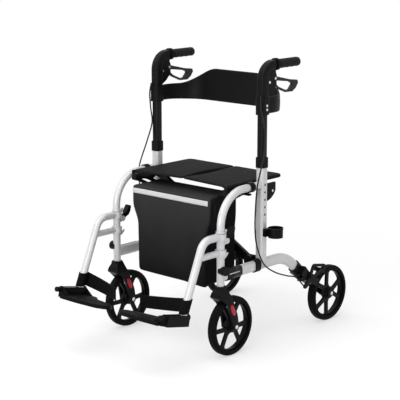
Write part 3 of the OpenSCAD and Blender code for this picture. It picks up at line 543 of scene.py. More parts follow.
def fork_neck(bm, side):
    """The head of a caster fork narrows towards the post, round the stem."""
    axis = mm(*pivot(side + "_caster_swivel")).xy
    cut(bm, mm(0, 0, NECK_LOW), (0, 0, 1))
    for vert in bm.verts:
        out = vert.co.xy - axis
        share = min(1, max(0, (vert.co.z * 1000 - NECK_LOW) / (NECK_HIGH - NECK_LOW)))
        if out.length * 1000 > NECK_CORE:
            vert.co.xy = axis + out * (1 - NECK_NARROWER * share)


def lever_paddle(bm, side):
    """The finger end of a release lever is wider than its root."""
    root = mm(*pivot(side + "_release_lever"))
    for reach in (PADDLE_ROOT, PADDLE_START):
        cut(bm, root + PADDLE_ALONG * reach / 1000, PADDLE_ALONG)
    for vert in bm.verts:
        # half a millimetre less than the start, so that the cut's own vertices count
        if (vert.co - root).dot(PADDLE_ALONG) * 1000 > PADDLE_START - 0.5:
            vert.co.x = root.x + (vert.co.x - root.x) * PADDLE_WIDER


def softened(node, width, reshape=None):
    """A copy of a moulded CAD node with its edges rounded."""
    bm = bmesh.new()
    bm.from_mesh(nodes[node].data)
    bmesh.ops.remove_doubles(bm, verts=bm.verts, dist=5e-6)
    bmesh.ops.dissolve_limit(bm, angle_limit=radians(0.8), verts=bm.verts, edges=bm.edges)
    if reshape:
        reshape(bm, node.split("_")[0])
    rounding(bm, bent(bm.edges, MOULDED_ANGLE), width)
    moulded(node, bm)


for side, _ in SIDES:
    for part, width in ROUNDED.items():
        softened(f"{side}_{part}", width)
    softened(side + "_caster_fork", 3.0, fork_neck)
    softened(side + "_release_lever", 1.6, lever_paddle)
for node, width in (("brace_a", 2.5), ("brace_b", 2.5), ("holder_cup", 1.0)):
    softened(node, width)


# wheels and brake arms: plates with windows

CURVE_STEPS = 5


def curved(corners, reach):
    """A closed outline whose corners are rounded from a reach before each to a reach after it."""
    line = []
    for before, corner, after in zip(corners[-1:] + corners[:-1], corners, corners[1:] + corners[:1]):
        start = corner + (before - corner) * min(0.48, reach / (before - corner).length)
        end = corner + (after - corner) * min(0.48, reach / (after - corner).length)
        for step in range(CURVE_STEPS + 1):
            t = step / CURVE_STEPS
            line.append(start * (1 - t) ** 2 + corner * (2 * t * (1 - t)) + end * t * t)
    return line


def closed_loop(bm, verts):
    """Edges from each vertex to the next, and from the last to the first."""
    return [bm.edges.new(pair) for pair in zip(verts, verts[1:] + verts[:1])]


def plate(bm, outlines, place, thick, edge):
    """A plate in side view with windows; its outlines are counted from its place."""
    loops = []
    for outline in outlines:
        verts = [bm.verts.new(mm(place.x - thick / 2, place.y + p.x, place.z + p.y)) for p in outline]
        loops += closed_loop(bm, verts)
    filled = bmesh.ops.triangle_fill(bm, edges=loops, use_beauty=True)["geom"]
    faces = [part for part in filled if isinstance(part, bmesh.types.BMFace)]
    shift_grown(bm, bmesh.ops.extrude_face_region(bm, geom=faces), x=thick)
    rounding(bm, bent(bm.edges, CAP_ANGLE), edge)


def turned_ring(bm, place, inner, outer, width, sides):
    """A ring about the wheel's axle with slightly rounded corners."""
    soft, half = min(1.2, width / 6), width / 2
    profile = [(inner, -half + soft), (inner + soft, -half), (outer - soft, -half), (outer, -half + soft),
               (outer, half - soft), (outer - soft, half), (inner + soft, half), (inner, half - soft)]
    verts = [bm.verts.new(mm(place.x + x, place.y, place.z + radius)) for radius, x in profile]
    bmesh.ops.spin(bm, geom=verts + closed_loop(bm, verts), cent=mm(*place), axis=(1, 0, 0), angle=2 * pi,
                   steps=sides, use_merge=True)


SPOKE_ROOT, SPOKE_TIP, SPOKE_HALF = 17.0, 81.0, 7.6
SPOKE_SPREAD, PAIR_HALF_ANGLE = radians(26), radians(33)
WINDOW_INNER, WINDOW_OUTER = 27.0, 79.5
NARROW_BULGE, WIDE_BULGE = 0.6, 0.4
NARROW_CURVE, WIDE_CURVE, WIDE_ARC = 7.0, 12.0, radians(9)
WEB_RADIUS = 82.0
WEB_SIDES = 72
WEB_THICK = 9.0
WEB_EDGE = 1.8
WEB_OUTWARDS = 2.5
# inner radius, outer radius, width and sides of the ring under the tyre and of the hub's two steps
WHEEL_RINGS = ((79.0, 84.0, 14, 72), (5.3, 22.0, 24, 40), (5.3, 16.0, 37, 40))


def polar(radius, angle):
    return Vector((radius * cos(angle), radius * sin(angle)))


def meeting(start, along, radius):
    """Where a line leaves a circle about the origin."""
    along = along.normalized()
    middle = start.dot(along)
    return start + along * (-middle + (middle * middle - start.length_squared + radius * radius) ** 0.5)


def spoke_edge(pair, lean, edge):
    """Where one long edge of a spoke leaves the circles at the hub and at the ring."""
    root = polar(SPOKE_ROOT, pair)
    along = polar(SPOKE_TIP, pair + lean * SPOKE_SPREAD) - root
    start = root + Vector((-along.y, along.x)).normalized() * SPOKE_HALF * edge
    return meeting(start, along, WINDOW_INNER), meeting(start, along, WINDOW_OUTER)


def wheel_rim(side, sign, end, turn):
    """Six spokes in three V pairs between hub and ring, with rounded windows."""
    place = pivot(f"{side}_{end}_wheel_spin")
    windows = []
    for third in range(3):
        pair = radians(turn + 120 * third)
        # the narrow window inside the pair
        apex = polar(SPOKE_ROOT + SPOKE_HALF / sin(PAIR_HALF_ANGLE), pair)
        tips = [spoke_edge(pair, lean, -lean)[1] for lean in (1, -1)]
        top = polar(WINDOW_OUTER + NARROW_BULGE, pair)
        windows.append(curved([apex, tips[0], top, tips[1]], NARROW_CURVE))
        # the wide window from this pair to the next
        root, tip = spoke_edge(pair, 1, 1)
        next_root, next_tip = spoke_edge(pair + radians(120), -1, -1)
        halfway = pair + radians(60)
        arc = [polar(WINDOW_OUTER + WIDE_BULGE, halfway + turned) for turned in (-WIDE_ARC, WIDE_ARC)]
        windows.append(curved([root, tip, *arc, next_tip, next_root], WIDE_CURVE))
    bm = bmesh.new()
    disc = [polar(WEB_RADIUS, 2 * pi * step / WEB_SIDES) for step in range(WEB_SIDES)]
    plate(bm, [disc, *windows], place + Vector((sign * WEB_OUTWARDS, 0, 0)), WEB_THICK, WEB_EDGE)
    for inner, outer, width, sides in WHEEL_RINGS:
        turned_ring(bm, place, inner, outer, width, sides)
    moulded(f"{side}_{end}_rim", bm, crease=40)


# the brake arm's outline and window, counted backwards and upwards from its pivot
BRAKE_LOOP = (
    (-11, 2), (8, 38), (17, 43), (80, 31), (86, 14), (78, 6), (22, -8), (4, -11),
    (-25, -36), (-35, -37), (-41, -28), (-34, -22),
)
BRAKE_WINDOW = ((7, 9), (18, 33), (68, 23), (70, 16), (24, 3))
BRAKE_CURVE = 7.0
BRAKE_WINDOW_CURVE = 4.0
BRAKE_THICK = 6.0
BRAKE_EDGE = 1.0
SHOE_X = 251.0
SHOE_BEHIND = 75.0
SHOE_ABOVE = 6.5
SHOE_LEAN = radians(-32)
SHOE_SIZE, SHOE_EDGE = Vector((42, 20, 13)), 2.0


def brake_arm(side, sign):
    """A bent loop over the tyre with the cable's lever below and the shoe inside."""
    arm = pivot(side + "_brake_shoe")
    outline = curved([Vector(p) for p in BRAKE_LOOP], BRAKE_CURVE)
    window = curved([Vector(p) for p in BRAKE_WINDOW], BRAKE_WINDOW_CURVE)
    bm = bmesh.new()
    plate(bm, [outline, window], arm, BRAKE_THICK, BRAKE_EDGE)
    place = Matrix.Translation(mm(sign * SHOE_X, arm.y + SHOE_BEHIND, arm.z + SHOE_ABOVE))
    turn = Matrix.Rotation(SHOE_LEAN, 4, "X")
    made = bmesh.ops.create_cube(bm, size=1, matrix=place @ turn @ Matrix.Diagonal((*SHOE_SIZE / 1000, 1)))
    rounding(bm, edges_of(made), SHOE_EDGE)
    moulded(side + "_brake_arm", bm)


for side, sign in SIDES:
    wheel_rim(side, sign, "front", turn=-30)
    wheel_rim(side, sign, "rear", turn=0)
    brake_arm(side, sign)


# seat

SEAT_MIDDLE, SEAT_HALF = Vector((108.25, 204, 555.6)), Vector((105.75, 144, 6.2))
SEAT_FRONT = SEAT_MIDDLE.y - SEAT_HALF.y
SEAT_EDGE, SEAT_CORNER, SEAT_REAR_CORNER = 5.0, 9.0, 20.0
SEAT_WAIST = 1.6
SEAT_HEM = 0.7
SEAT_CROWN = 2.4
SEAT_WRINKLE = 0.5
SEAT_DRAWN, SEAT_THINNER = 17.0, 5.5
SEAT_THIN_UNTIL, SEAT_THIN_ACROSS = (22, 70), (0.72, 0.86)
GAP_HALF_WIDTH, GAP_Y, GAP_HALF_LENGTH = 12.5, 195.0, 98.0
FOLD_MIDDLE = Vector((17, 196, 552.4))
FOLD_HALF_WIDTH = 16.2
FOLD_HALF_LENGTH = 96.0
FOLD_DIP = 1.6


def seat_skin(u, v, w, sign):
    """The cover of a left seat half for a point of a cube from -1 to 1: outwards, backwards and up.

    The sign only gives the two halves different wrinkles.
    """
    u, v, w = (sin(part * pi / 2) for part in (u, v, w))
    corner = SEAT_REAR_CORNER if u > 0 and v > 0 else SEAT_CORNER
    p = Vector((u * SEAT_HALF.x, v * SEAT_HALF.y, w * SEAT_HALF.z))
    # the plan's corners are rounded first, and then the edges
    plan = within(drawn_in(p.xy, SEAT_HALF.xy, corner), p.xy, corner - SEAT_EDGE)
    level = max(SEAT_EDGE - SEAT_HALF.z, min(SEAT_HALF.z - SEAT_EDGE, p.z))
    x, y, z = within(Vector((*plan, level)), p, SEAT_EDGE) + SEAT_MIDDLE
    hem = SEAT_HEM * max(0, 1 - abs(w) / 0.22) * max(abs(u), abs(v)) ** 40
    x -= u * (SEAT_WAIST * (1 - v * v) + hem) * abs(u) ** 3
    y -= v * (SEAT_WAIST * (1 - u * u) + hem) * abs(v) ** 3
    # the front edge is drawn back towards the middle and thinner than the rest
    inwards = (1 - u) / 2
    drawn = SEAT_DRAWN * inwards ** 1.6
    y += drawn * max(0, -v) ** 2
    thin = (1 - ease(*SEAT_THIN_UNTIL, y - SEAT_FRONT - drawn)) * (1 - ease(*SEAT_THIN_ACROSS, u))
    z += SEAT_THINNER * max(0, -w) * thin
    # the inner edge leaves a lens-shaped gap between the halves
    gap = GAP_HALF_WIDTH * max(0, 1 - ((y - GAP_Y) / GAP_HALF_LENGTH) ** 2)
    x += gap * inwards ** 1.5
    crown = SEAT_CROWN * (1 - u ** 4) * (1 - v ** 4)
    wrinkle = SEAT_WRINKLE * noise.noise(Vector((x * 0.03 * sign, y * 0.03, 2)))
    z += (crown + wrinkle) * max(0, w)
    return x, y, z


def seat_pad(side, sign):
    bm = bmesh.new()
    bmesh.ops.create_cube(bm, size=2)
    bmesh.ops.subdivide_edges(bm, edges=bm.edges, cuts=29, use_grid_fill=True)
    for vert in bm.verts:
        x, y, z = seat_skin(*vert.co, sign)
        vert.co = mm(sign * x, y, z)
    pad = piece(side + "_seat_pad", bm, "seat_cloth", body=side + "_seat", hides=(side + "_seat_panel",),
                crease=0, level=1)


def seat_fold(side, sign):
    """Half of the fold between the two pads: a strip of cloth sewn under one of them."""
    bm = bmesh.new()
    bmesh.ops.create_grid(bm, x_segments=4, y_segments=24, size=1)
    for vert in bm.verts:
        u, v = vert.co.xy
        x = FOLD_MIDDLE.x + FOLD_HALF_WIDTH * u
        y = FOLD_MIDDLE.y + FOLD_HALF_LENGTH * v
        vert.co = mm(sign * x, y, FOLD_MIDDLE.z - FOLD_DIP * (1 - u) * (1 - v * v))
    fold = piece(side + "_seat_fold", bm, "webbing", slot="seat_cloth", body=side + "_seat", wall=1.2)


for side, sign in SIDES:
    seat_pad(side, sign)
    seat_fold(side, sign)


# backrest band

BAND_RADIUS, BAND_BEND_Y, BAND_END_Y = 99.5, 255.0, 221.0
BAND_FLAT, BAND_CORNER = POST_X - BAND_RADIUS, BAND_RADIUS * pi / 2
BAND_HALF = BAND_FLAT + BAND_CORNER + BAND_BEND_Y - BAND_END_Y
BAND_LOW = 779.5
BAND_HIGH = 836.5
BAND_CROWN = 56.5
BAND_END_RISE = 2.5
BAND_SHOULDER, BAND_END_SPAN = (90, 242), (200, 300)
BAND_BOW = 1.6
BAND_FORWARDS = 2.5
BAND_THICK = 9.4
BAND_EDGE = 4.2


def band_line(s):
    """The band's middle line in plan, from the mid plane outwards: its place and its outward direction."""
    sign = 1 if s >= 0 else -1
    s = abs(s)
    if s < BAND_FLAT:
        x, y, nx, ny = s, BAND_BEND_Y + BAND_RADIUS, 0, 1
    elif s < BAND_FLAT + BAND_CORNER:
        a = (s - BAND_FLAT) / BAND_RADIUS
        nx, ny = sin(a), cos(a)
        x, y = BAND_FLAT + BAND_RADIUS * nx, BAND_BEND_Y + BAND_RADIUS * ny
    else:
        x, y, nx, ny = POST_X, BAND_BEND_Y - (s - BAND_FLAT - BAND_CORNER), 1, 0
    return sign * x, y, sign * nx, ny


def backrest_band():
    bm = bmesh.new()
    bmesh.ops.create_grid(bm, x_segments=110, y_segments=14, size=1)
    for vert in bm.verts:
        s, rise = vert.co.x * BAND_HALF, (vert.co.y + 1) / 2
        x, y, nx, ny = band_line(s)
        low = BAND_LOW + BAND_END_RISE * ease(*BAND_END_SPAN, abs(s))
        high = BAND_HIGH + BAND_CROWN * (1 - ease(*BAND_SHOULDER, abs(s)))
        bow = BAND_BOW * sin(pi * rise)
        vert.co = mm(x + nx * bow, y + ny * bow - BAND_FORWARDS, low + (high - low) * rise)
    band = piece("backrest_band", bm, "back_foam", body="left_handle", hides=("backrest",), wall=BAND_THICK)
    edge = band.modifiers.new("edge", "BEVEL")
    edge.width, edge.segments = BAND_EDGE / 1000, 3
    edge.limit_method, edge.angle_limit = "ANGLE", radians(50)
    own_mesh(band)


backrest_band()


# bag

BAG_LOW = 222.0
BAG_HIGH = 524.0
BAG_FRONT = 18.0
BAG_REAR = 149.0
BAG_MIDDLE = Vector((0, (BAG_FRONT + BAG_REAR) / 2, (BAG_LOW + BAG_HIGH) / 2))
BAG_HALF_DEPTH, BAG_HALF_HEIGHT = (BAG_REAR - BAG_FRONT) / 2, (BAG_HIGH - BAG_LOW) / 2
BAG_HALF_FRONT, BAG_HALF_REAR, BAG_TAPER = 157.0, 172.5, 2.0
FLAP_LOW = 385
FLAP_FULL = 458
FLAP_FRONT_WIDER = 20.0
FLAP_REAR_WIDER = 5.0
BAG_FRONT_EDGE, BAG_REAR_EDGE = 12.0, 5.0
FRONT_BULGE, BACK_BULGE = 5.0, 3.0
BASE_SAG = 5.0
CORNER_SAG = 8.0
LID_SAG = 3.0
LID_DROP = 2.0
GUSSET_DEPTH = 6.0
GUSSET_FOLD = 8.0
FRONT_FOLD = 2.2
PLEAT_DEPTH = 15.0
PLEAT_PLACE, PLEAT_HALF_WIDTH = -0.66, 0.14
PLEAT_START, PLEAT_END = (375, 425), (490, 514)
TAPE_Z = 502.5
TAPE_HALF_HEIGHT = 8.5
TAPE_MIDDLE = -0.06
TAPE_REACH = 0.82
TAPE_PROUD = 1.2
LOOP_PLACES = (74, 118)
LOOP_HALF_WIDTH = 12
LOOP_INNER_X = 158
LOOP_LENGTH = 56
LOOP_Z, LOOP_RISE, LOOP_DIP = 519.0, 5.4, 1.0


def bag_half(v, z):
    """Half the bag's width: narrow at the lower front, wide at the flap and along the back."""
    flap = ease(FLAP_LOW, FLAP_FULL, z)
    front = BAG_HALF_FRONT + BAG_TAPER * ease(BAG_LOW, 402, z) + FLAP_FRONT_WIDER * flap
    rear = BAG_HALF_REAR + FLAP_REAR_WIDER * flap
    return front + (rear - front) * ((v + 1) / 2) ** 0.8


def bag_skin(u, v, w):
    """The bag's cloth for a point of a cube from -1 to 1, across, backwards and up: folds, bulge and sag."""
    u, v, w = (sin(part * pi / 2) for part in (u, v, w))
    outwards = 1 if u > 0 else -1
    half_width = bag_half(v, BAG_MIDDLE.z + w * BAG_HALF_HEIGHT)
    half = Vector((half_width, BAG_HALF_DEPTH, BAG_HALF_HEIGHT))
    radius = BAG_FRONT_EDGE + (BAG_REAR_EDGE - BAG_FRONT_EDGE) * max(0, v)
    p = Vector((u * half.x, v * half.y, w * half.z))
    x, y, z = within(drawn_in(p, half, radius), p, radius) + BAG_MIDDLE
    front, flank = max(0, -v) ** 3, abs(u) ** 4
    face, floor = (1 - u * u) * (1 - w * w), (1 - u * u) * (1 - v * v)
    rise = (z - BAG_LOW) / (BAG_HIGH - BAG_LOW)
    y -= front * FRONT_BULGE * face * (1.3 - rise)
    y += max(0, v) ** 3 * BACK_BULGE * face
    z -= BASE_SAG * floor * max(0, -w) ** 3
    z -= (LID_DROP + LID_SAG * floor) * max(0, w) ** 4
    z -= CORNER_SAG * ease(0.2, 0.9, u) * max(0, -v) ** 2 * max(0, -w) ** 3
    fold = noise.noise(Vector((x * 0.012, y * 0.03, z * 0.007)))
    fold += 0.5 * noise.noise(Vector((x * 0.03, 7, z * 0.016)))
    x -= outwards * flank * (1 - v * v) * (GUSSET_DEPTH + GUSSET_FOLD * sin(z * 0.045 + 0.6) * fold)
    y += front * FRONT_FOLD * fold * (0.35 + flank)
    # a deep pleat behind the edge of the flap
    pleat = exp(-((v - PLEAT_PLACE) / PLEAT_HALF_WIDTH) ** 2)
    pleat *= ease(*PLEAT_START, z) * (1 - ease(*PLEAT_END, z))
    x -= outwards * flank * PLEAT_DEPTH * pleat
    return Vector((x, y, z))


def bag_front(u, z):
    """The place on the bag's front at a height, found by halving."""
    low, high = 0.2, 1.0
    for _ in range(24):
        w = (low + high) / 2
        if bag_skin(u, -1, w).z < z:
            low = w
        else:
            high = w
    return bag_skin(u, -1, w)


def bag_shell():
    bm = bmesh.new()
    bmesh.ops.create_cube(bm, size=2)
    bmesh.ops.subdivide_edges(bm, edges=bm.edges, cuts=33, use_grid_fill=True)
    for vert in bm.verts:
        vert.co = mm(*bag_skin(*vert.co))
    return piece("bag_shell", bm, "bag_cloth", body="left_side", hides=("bag",), crease=0, level=1)


def bag_tape():
    """Reflective tape over the front."""
    bm = bmesh.new()
    bmesh.ops.create_grid(bm, x_segments=70, y_segments=4, size=1)
    for vert in bm.verts:
        p = bag_front(TAPE_MIDDLE + TAPE_REACH * vert.co.x, TAPE_Z + TAPE_HALF_HEIGHT * vert.co.y)
        vert.co = mm(p.x, p.y - TAPE_PROUD, p.z)
    return piece("bag_tape", bm, "reflective_tape", slot="bag_cloth", body="left_side", wall=0.8)


def bag_loops():
    """Webbing loops over the seat bars."""
    bm = bmesh.new()
    for _, sign in SIDES:
        for y in LOOP_PLACES:
            made = bmesh.ops.create_grid(bm, x_segments=12, y_segments=3, size=1)
            for vert in made["verts"]:
                t = (vert.co.x * sign + 1) / 2
                z = LOOP_Z + LOOP_RISE * ease(0.1, 0.75, t) - LOOP_DIP * (1 - ease(0, 0.2, t))
                x = LOOP_INNER_X + LOOP_LENGTH * t
                vert.co = mm(sign * x, y + LOOP_HALF_WIDTH * vert.co.y, z)
    return piece("bag_loops", bm, "webbing", body="left_side", wall=2.2)


for item in (bag_shell(), bag_tape(), bag_loops()):
    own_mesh(item)


# heel straps

LEG_END_Y, LEG_END_Z, LEG_LEAN = -181.8446, 177.9856, radians(23)
WRAP_RISE = 39.0
WRAP_HALF_WIDTH = 23.0
WRAP_RADIUS = 14.7
WRAP_SHARE = 0.36
WRAP_START, WRAP_ANGLE = radians(-256), radians(346)
HEEL_BEHIND, HEEL_SAG_BACK, HEEL_SAG_DOWN = 15.0, 12.0, 5.0
HEEL_END, HEEL_END_HALF_WIDTH = Vector((56, -187, 199.5)), 21.0


def heel_strap(side, sign):
    """Webbing round the hanger's leg for the first third and then across to the plate's inner end."""
    bm = bmesh.new()
    bmesh.ops.create_grid(bm, x_segments=56, y_segments=8, size=1)
    for vert in bm.verts:
        t, w = (vert.co.x + 1) / 2, vert.co.y
        rise = WRAP_RISE + WRAP_HALF_WIDTH * w
        y, z = LEG_END_Y + rise * sin(LEG_LEAN), LEG_END_Z + rise * cos(LEG_LEAN)
        if t < WRAP_SHARE:
            a = WRAP_START + WRAP_ANGLE * t / WRAP_SHARE
            x = POST_X + WRAP_RADIUS * cos(a)
            y += WRAP_RADIUS * sin(a) / cos(LEG_LEAN)
        else:
            k = (t - WRAP_SHARE) / (1 - WRAP_SHARE)
            sag = 4 * k * (1 - k)
            x = POST_X + (HEEL_END.x - POST_X) * k
            y = (y + HEEL_BEHIND) * (1 - k) + HEEL_END.y * k + HEEL_SAG_BACK * sag
            z = z * (1 - k) + (HEEL_END.z + HEEL_END_HALF_WIDTH * w) * k - HEEL_SAG_DOWN * sag
        vert.co = mm(sign * x, y, z)
    strap = piece(side + "_strap", bm, "webbing", hides=(side + "_heel_strap",), crease=60, wall=2.6)
    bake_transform(strap)


for side, sign in SIDES:
    heel_strap(side, sign)


# brake cables, from the handle down to the brake arm

CABLE = [
    (247, 185.5, 846), (251, 181.5, 808), (260, 185, 758), (263, 192, 698), (264, 181, 642), (263, 153, 556),
    (262, 145, 478), (262, 144, 408), (262, 155, 350), (262, 191, 284), (262, 250, 244), (263, 315, 218),
    (268.5, 356.82, 204.94), (272.5, 395.82, 167.94),
]
CABLE_RIGHT = [
    *CABLE[:2], (250, 185, 758), (247, 188, 706), (253, 168, 642), (262, 137, 554), (262, 139, 478),
    *CABLE[7:],
]
CABLE_STEPS, CABLE_RADIUS = 6, 2.5


def smooth_path(points):
    """A curve through all the points, as places in the row frame."""
    path = []
    ends = [points[0], *points, points[-1]]
    for a, b, c, d in zip(ends, ends[1:], ends[2:], ends[3:]):
        for step in range(CABLE_STEPS):
            t = step / CABLE_STEPS
            bend = (2 * a - 5 * b + 4 * c - d) * t * t + (3 * b - a - 3 * c + d) * t ** 3
            path.append(0.5 * (2 * b + (c - a) * t + bend))
    return [mm(*p) for p in path + [points[-1]]]


def tube_mesh(name, path, radius):
    """The mesh of a round tube along a path in the row frame."""
    line = bpy.data.curves.new(name, "CURVE")
    line.dimensions = "3D"
    line.bevel_depth, line.bevel_resolution, line.use_fill_caps = radius / 1000, 3, True
    spline = line.splines.new("POLY")
    spline.points.add(len(path) - 1)
    for point, place in zip(spline.points, path):
        point.co = (*place, 1)
    holder = bpy.data.objects.new(name, line)
    bpy.context.scene.collection.objects.link(holder)
    bpy.context.view_layer.update()
    mesh = bpy.data.meshes.new_from_object(holder.evaluated_get(bpy.context.evaluated_depsgraph_get()))
    bpy.data.objects.remove(holder)
    return mesh


def brake_cable(side, sign):
    path = smooth_path([Vector((sign * x, y, z)) for x, y, z in (CABLE if sign > 0 else CABLE_RIGHT)])
    bm = bmesh.new()
    bm.from_mesh(tube_mesh(side + "_cable_line", path, CABLE_RADIUS))
    cable = piece(side + "_cable", bm, "cable_jacket", hides=(side + "_brake_cable",), crease=60)
    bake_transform(cable)


for side, sign in SIDES:
    brake_cable(side, sign)


# grips and rings

GRIP_START, GRIP_Z = 276.0, 941.0
GRIP_RIBS, RIB_START, RIB_PITCH = 9, 6.0, 10.4
FINGER_DEPTH = 1.2
FINGER_PITCH = 26.0
FINGER_END = 106.0
GRIP_RADIUS = 15.5
RING_Y = 269.6
RING_RADIUS = 19.4
RING_WIDTH = 12.6
RING_FLUTES = 44


def ribbed_grip(side, sign):
    """A turned grip with ribs; its profile is the radius and the distance from its front end."""
    profile = [(10.5, 0.2), (15.0, 0.2), (15.6, 1.6)]
    for rib in range(GRIP_RIBS):
        y = RIB_START + RIB_PITCH * rib
        profile += [(15.5, y), (14.2, y + 1.2), (14.2, y + 2.6), (15.6, y + 3.8), (15.8, y + 6.6)]
    profile += [(15.6, 104), (14.6, 109.5), (11.0, 112.4), (5.0, 113.0), (0.0, 113.0)]
    bm = bmesh.new()
    start = mm(sign * POST_X, GRIP_START, GRIP_Z)
    chain = [bm.verts.new(start + Vector((radius, y, 0)) / 1000) for radius, y in profile]
    edges = [bm.edges.new(pair) for pair in zip(chain, chain[1:])]
    bmesh.ops.spin(bm, geom=chain + edges, cent=start, axis=(0, 1, 0), angle=2 * pi, steps=40, use_merge=True)
    bmesh.ops.remove_doubles(bm, verts=bm.verts, dist=1e-5)
    # finger hollows along the underside
    for vert in bm.verts:
        off = (vert.co - start) * 1000
        if off.y < FINGER_END:
            hollow = 0.5 + 0.5 * sin(off.y * 2 * pi / FINGER_PITCH - pi / 2)
            vert.co.z += FINGER_DEPTH / 1000 * max(0, -off.z / GRIP_RADIUS) * hollow
    piece(side + "_ribbed_grip", bm, "grip_rubber", body=side + "_handle", hides=(side + "_grip",), crease=40)


def knurled_ring(side, sign):
    """The ring between the shell and the grip, with a flute on every side face."""
    bm = bmesh.new()
    place = Matrix.Translation(mm(sign * POST_X, RING_Y, GRIP_Z)) @ Matrix.Rotation(-pi / 2, 4, "X")
    bmesh.ops.create_cone(bm, cap_ends=True, segments=RING_FLUTES, radius1=RING_RADIUS / 1000,
                          radius2=RING_RADIUS / 1000, depth=RING_WIDTH / 1000, matrix=place)
    flutes = [face for face in bm.faces if len(face.verts) == 4]
    bmesh.ops.inset_individual(bm, faces=flutes, thickness=0.0004, depth=0.0009)
    piece(side + "_knurled_ring", bm, "black_plastic", body=side + "_handle", crease=30)


for side, sign in SIDES:
    ribbed_grip(side, sign)
    knurled_ring(side, sign)


# reflectors, wraps and small hardware

REFLECTOR_OUT = 26.0
REFLECTOR_Y = 33.0
REFLECTOR_Z = 160.0
REFLECTOR_LEAN = radians(26)
REFLECTOR_SIZE, REFLECTOR_EDGE = Vector((2.4, 8.5, 21.5)), 0.7
SLEEVE_PLACE = Vector((POST_X, 22, 278))
SLEEVE_LENGTH = 74.0
SLEEVE_CURVE = 11.9
SLEEVE_FLAT = 7.0
SLEEVE_OPEN = 3.0
GUSSET_BOLT_Y, GUSSET_BOLT_Z, GUSSET_HALF = 256, 521, 4
HEIGHT_BUTTON = Vector((251.2, 205, 574))
BAR_SCREWS, BAR_SCREW_X, BAR_SCREW_Z = (170, 96), 216, 537
# the clamps' tabs in side view: backwards from the post and up from the clamp
WING = ((10, 4), (19, -6), (30, 2), (37, 10), (33, 14), (26, 7), (22, 15), (18, 14), (19, 5), (10, 10))
HOOK = ((10, 10), (16, 14), (24, 27), (30, 38), (26, 42), (18, 32), (10, 24))
TABS, TAB_THICK, TAB_EDGE = ((384, WING), (338, WING), (388, HOOK)), 4.4, 0.8


def reflectors(side, sign):
    """An oval on each side of the caster fork."""
    bm = bmesh.new()
    oval = Matrix.Diagonal((*REFLECTOR_SIZE / 1000, 1)) @ Matrix.Rotation(pi / 2, 4, "Y")
    lean = Matrix.Rotation(REFLECTOR_LEAN, 4, "X")
    for out in (REFLECTOR_OUT, -REFLECTOR_OUT):
        place = Matrix.Translation(mm(sign * POST_X + out, REFLECTOR_Y, REFLECTOR_Z))
        made = bmesh.ops.create_cone(bm, cap_ends=True, segments=36, radius1=1, radius2=1, depth=1)
        bmesh.ops.transform(bm, matrix=place @ lean @ oval, verts=made["verts"])
        rounding(bm, bent(edges_of(made), CAP_ANGLE), REFLECTOR_EDGE)
    piece(side + "_reflectors", bm, "red_reflector", slot="black_gloss", body=side + "_caster")


def rail_sleeve(side, sign):
    """A thin wrap round the outer side of the oval rail."""
    bm = bmesh.new()
    bmesh.ops.create_circle(bm, segments=48, radius=SLEEVE_CURVE / 1000)
    inner = [vert for vert in bm.verts if sign * vert.co.x < -SLEEVE_OPEN / 1000]
    bmesh.ops.delete(bm, geom=inner, context="VERTS")
    ring = bm.verts[:]
    for vert in ring:
        vert.co.y += SLEEVE_FLAT / 1000 if vert.co.y > 0 else -SLEEVE_FLAT / 1000
    place = Matrix.Translation(mm(sign * SLEEVE_PLACE.x, SLEEVE_PLACE.y, SLEEVE_PLACE.z))
    bmesh.ops.transform(bm, matrix=place @ Matrix.Rotation(pi / 2, 4, "X"), verts=ring)
    shift_grown(bm, bmesh.ops.extrude_edge_only(bm, edges=bm.edges[:]), y=SLEEVE_LENGTH)
    piece(side + "_rail_wrap", bm, "rail_wrap", slot="black_gloss", body=side + "_side", wall=0.5)


def gusset_bolts(side, sign):
    bm = bmesh.new()
    for out in (sign, -sign):
        place = (sign * POST_X + out * GUSSET_HALF, GUSSET_BOLT_Y, GUSSET_BOLT_Z)
        knob(bm, place, (out, 0, 0), radius=4.2, height=2.4)
    piece(side + "_gusset_bolts", bm, "bright_steel", body=side + "_side", crease=30)


def height_button(side, sign):
    bm = bmesh.new()
    place = (sign * HEIGHT_BUTTON.x, HEIGHT_BUTTON.y, HEIGHT_BUTTON.z)
    knob(bm, place, (sign, 0, 0), radius=3.4, height=2.6, rim=0.35)
    piece(side + "_height_button", bm, "bright_steel", body=side + "_handle", crease=30)


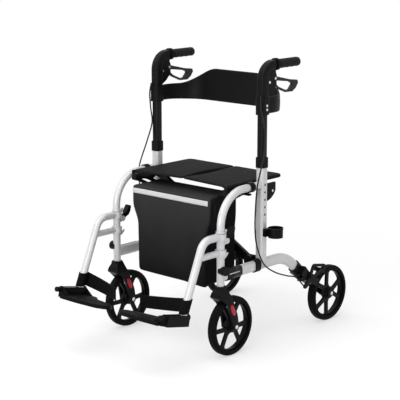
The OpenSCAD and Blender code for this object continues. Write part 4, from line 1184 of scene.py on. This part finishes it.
def bar_screws(side, sign):
    bm = bmesh.new()
    for y in BAR_SCREWS:
        knob(bm, (sign * BAR_SCREW_X, y, BAR_SCREW_Z), (sign, 0, 0), radius=3.6, height=2.0)
    carrier = "brace_b" if sign > 0 else "brace_a"
    piece(side + "_bar_screws", bm, "bright_steel", body=carrier, crease=30)


def clamp_tabs(side, sign):
    """Wing tabs behind the post at the clamps."""
    bm = bmesh.new()
    x = sign * POST_X - TAB_THICK / 2
    for z, outline in TABS:
        face = bm.faces.new([bm.verts.new(mm(x, back, z + up)) for back, up in outline])
        shift_grown(bm, bmesh.ops.extrude_face_region(bm, geom=[face]), x=TAB_THICK)
    rounding(bm, bent(bm.edges, TAB_ANGLE), TAB_EDGE)
    piece(side + "_clamp_tabs", bm, "silver_paint", body=side + "_footrest", crease=40, even=True)


for side, sign in SIDES:
    for make in (reflectors, rail_sleeve, gusset_bolts, height_button, bar_screws, clamp_tabs):
        make(side, sign)


# floor and background

def floor_white():
    """White paint that glows for the camera, by half under the object and fully further out."""
    look = Finish("floor_white")
    x, y, _ = look.axes(look.coords())
    far = look.clamp(((x * x + y * y) ** 0.5 - 0.6) * 0.9) * 0.5 + 0.5
    paint = look.node("ShaderNodeBsdfDiffuse", inputs={"Color": (0.88, 0.88, 0.88, 1)})
    glow = look.node("ShaderNodeEmission", inputs={"Color": (1, 1, 1, 1), "Strength": 1.0})
    both = look.node("ShaderNodeMixShader", inputs={0: far * look.seen(), 1: paint, 2: glow})
    look.node("ShaderNodeOutputMaterial", inputs={"Surface": both})
    return look.material


def studio():
    bm = bmesh.new()
    bmesh.ops.create_grid(bm, x_segments=1, y_segments=1, size=6)
    mesh = bpy.data.meshes.new("floor")
    bm.to_mesh(mesh)
    bm.free()
    mesh.materials.append(floor_white())
    floor = bpy.data.objects.new("floor", mesh)
    bpy.context.scene.collection.objects.link(floor)
    world = bpy.context.scene.world = bpy.data.worlds.new("studio")
    look = Finish("studio", world)
    strength = look.range(look.seen(), 0.6, 1.0)
    sky = look.node("ShaderNodeBackground", inputs={"Color": (1, 1, 1, 1), "Strength": strength})
    look.node("ShaderNodeOutputWorld", inputs={"Surface": sky})


studio()
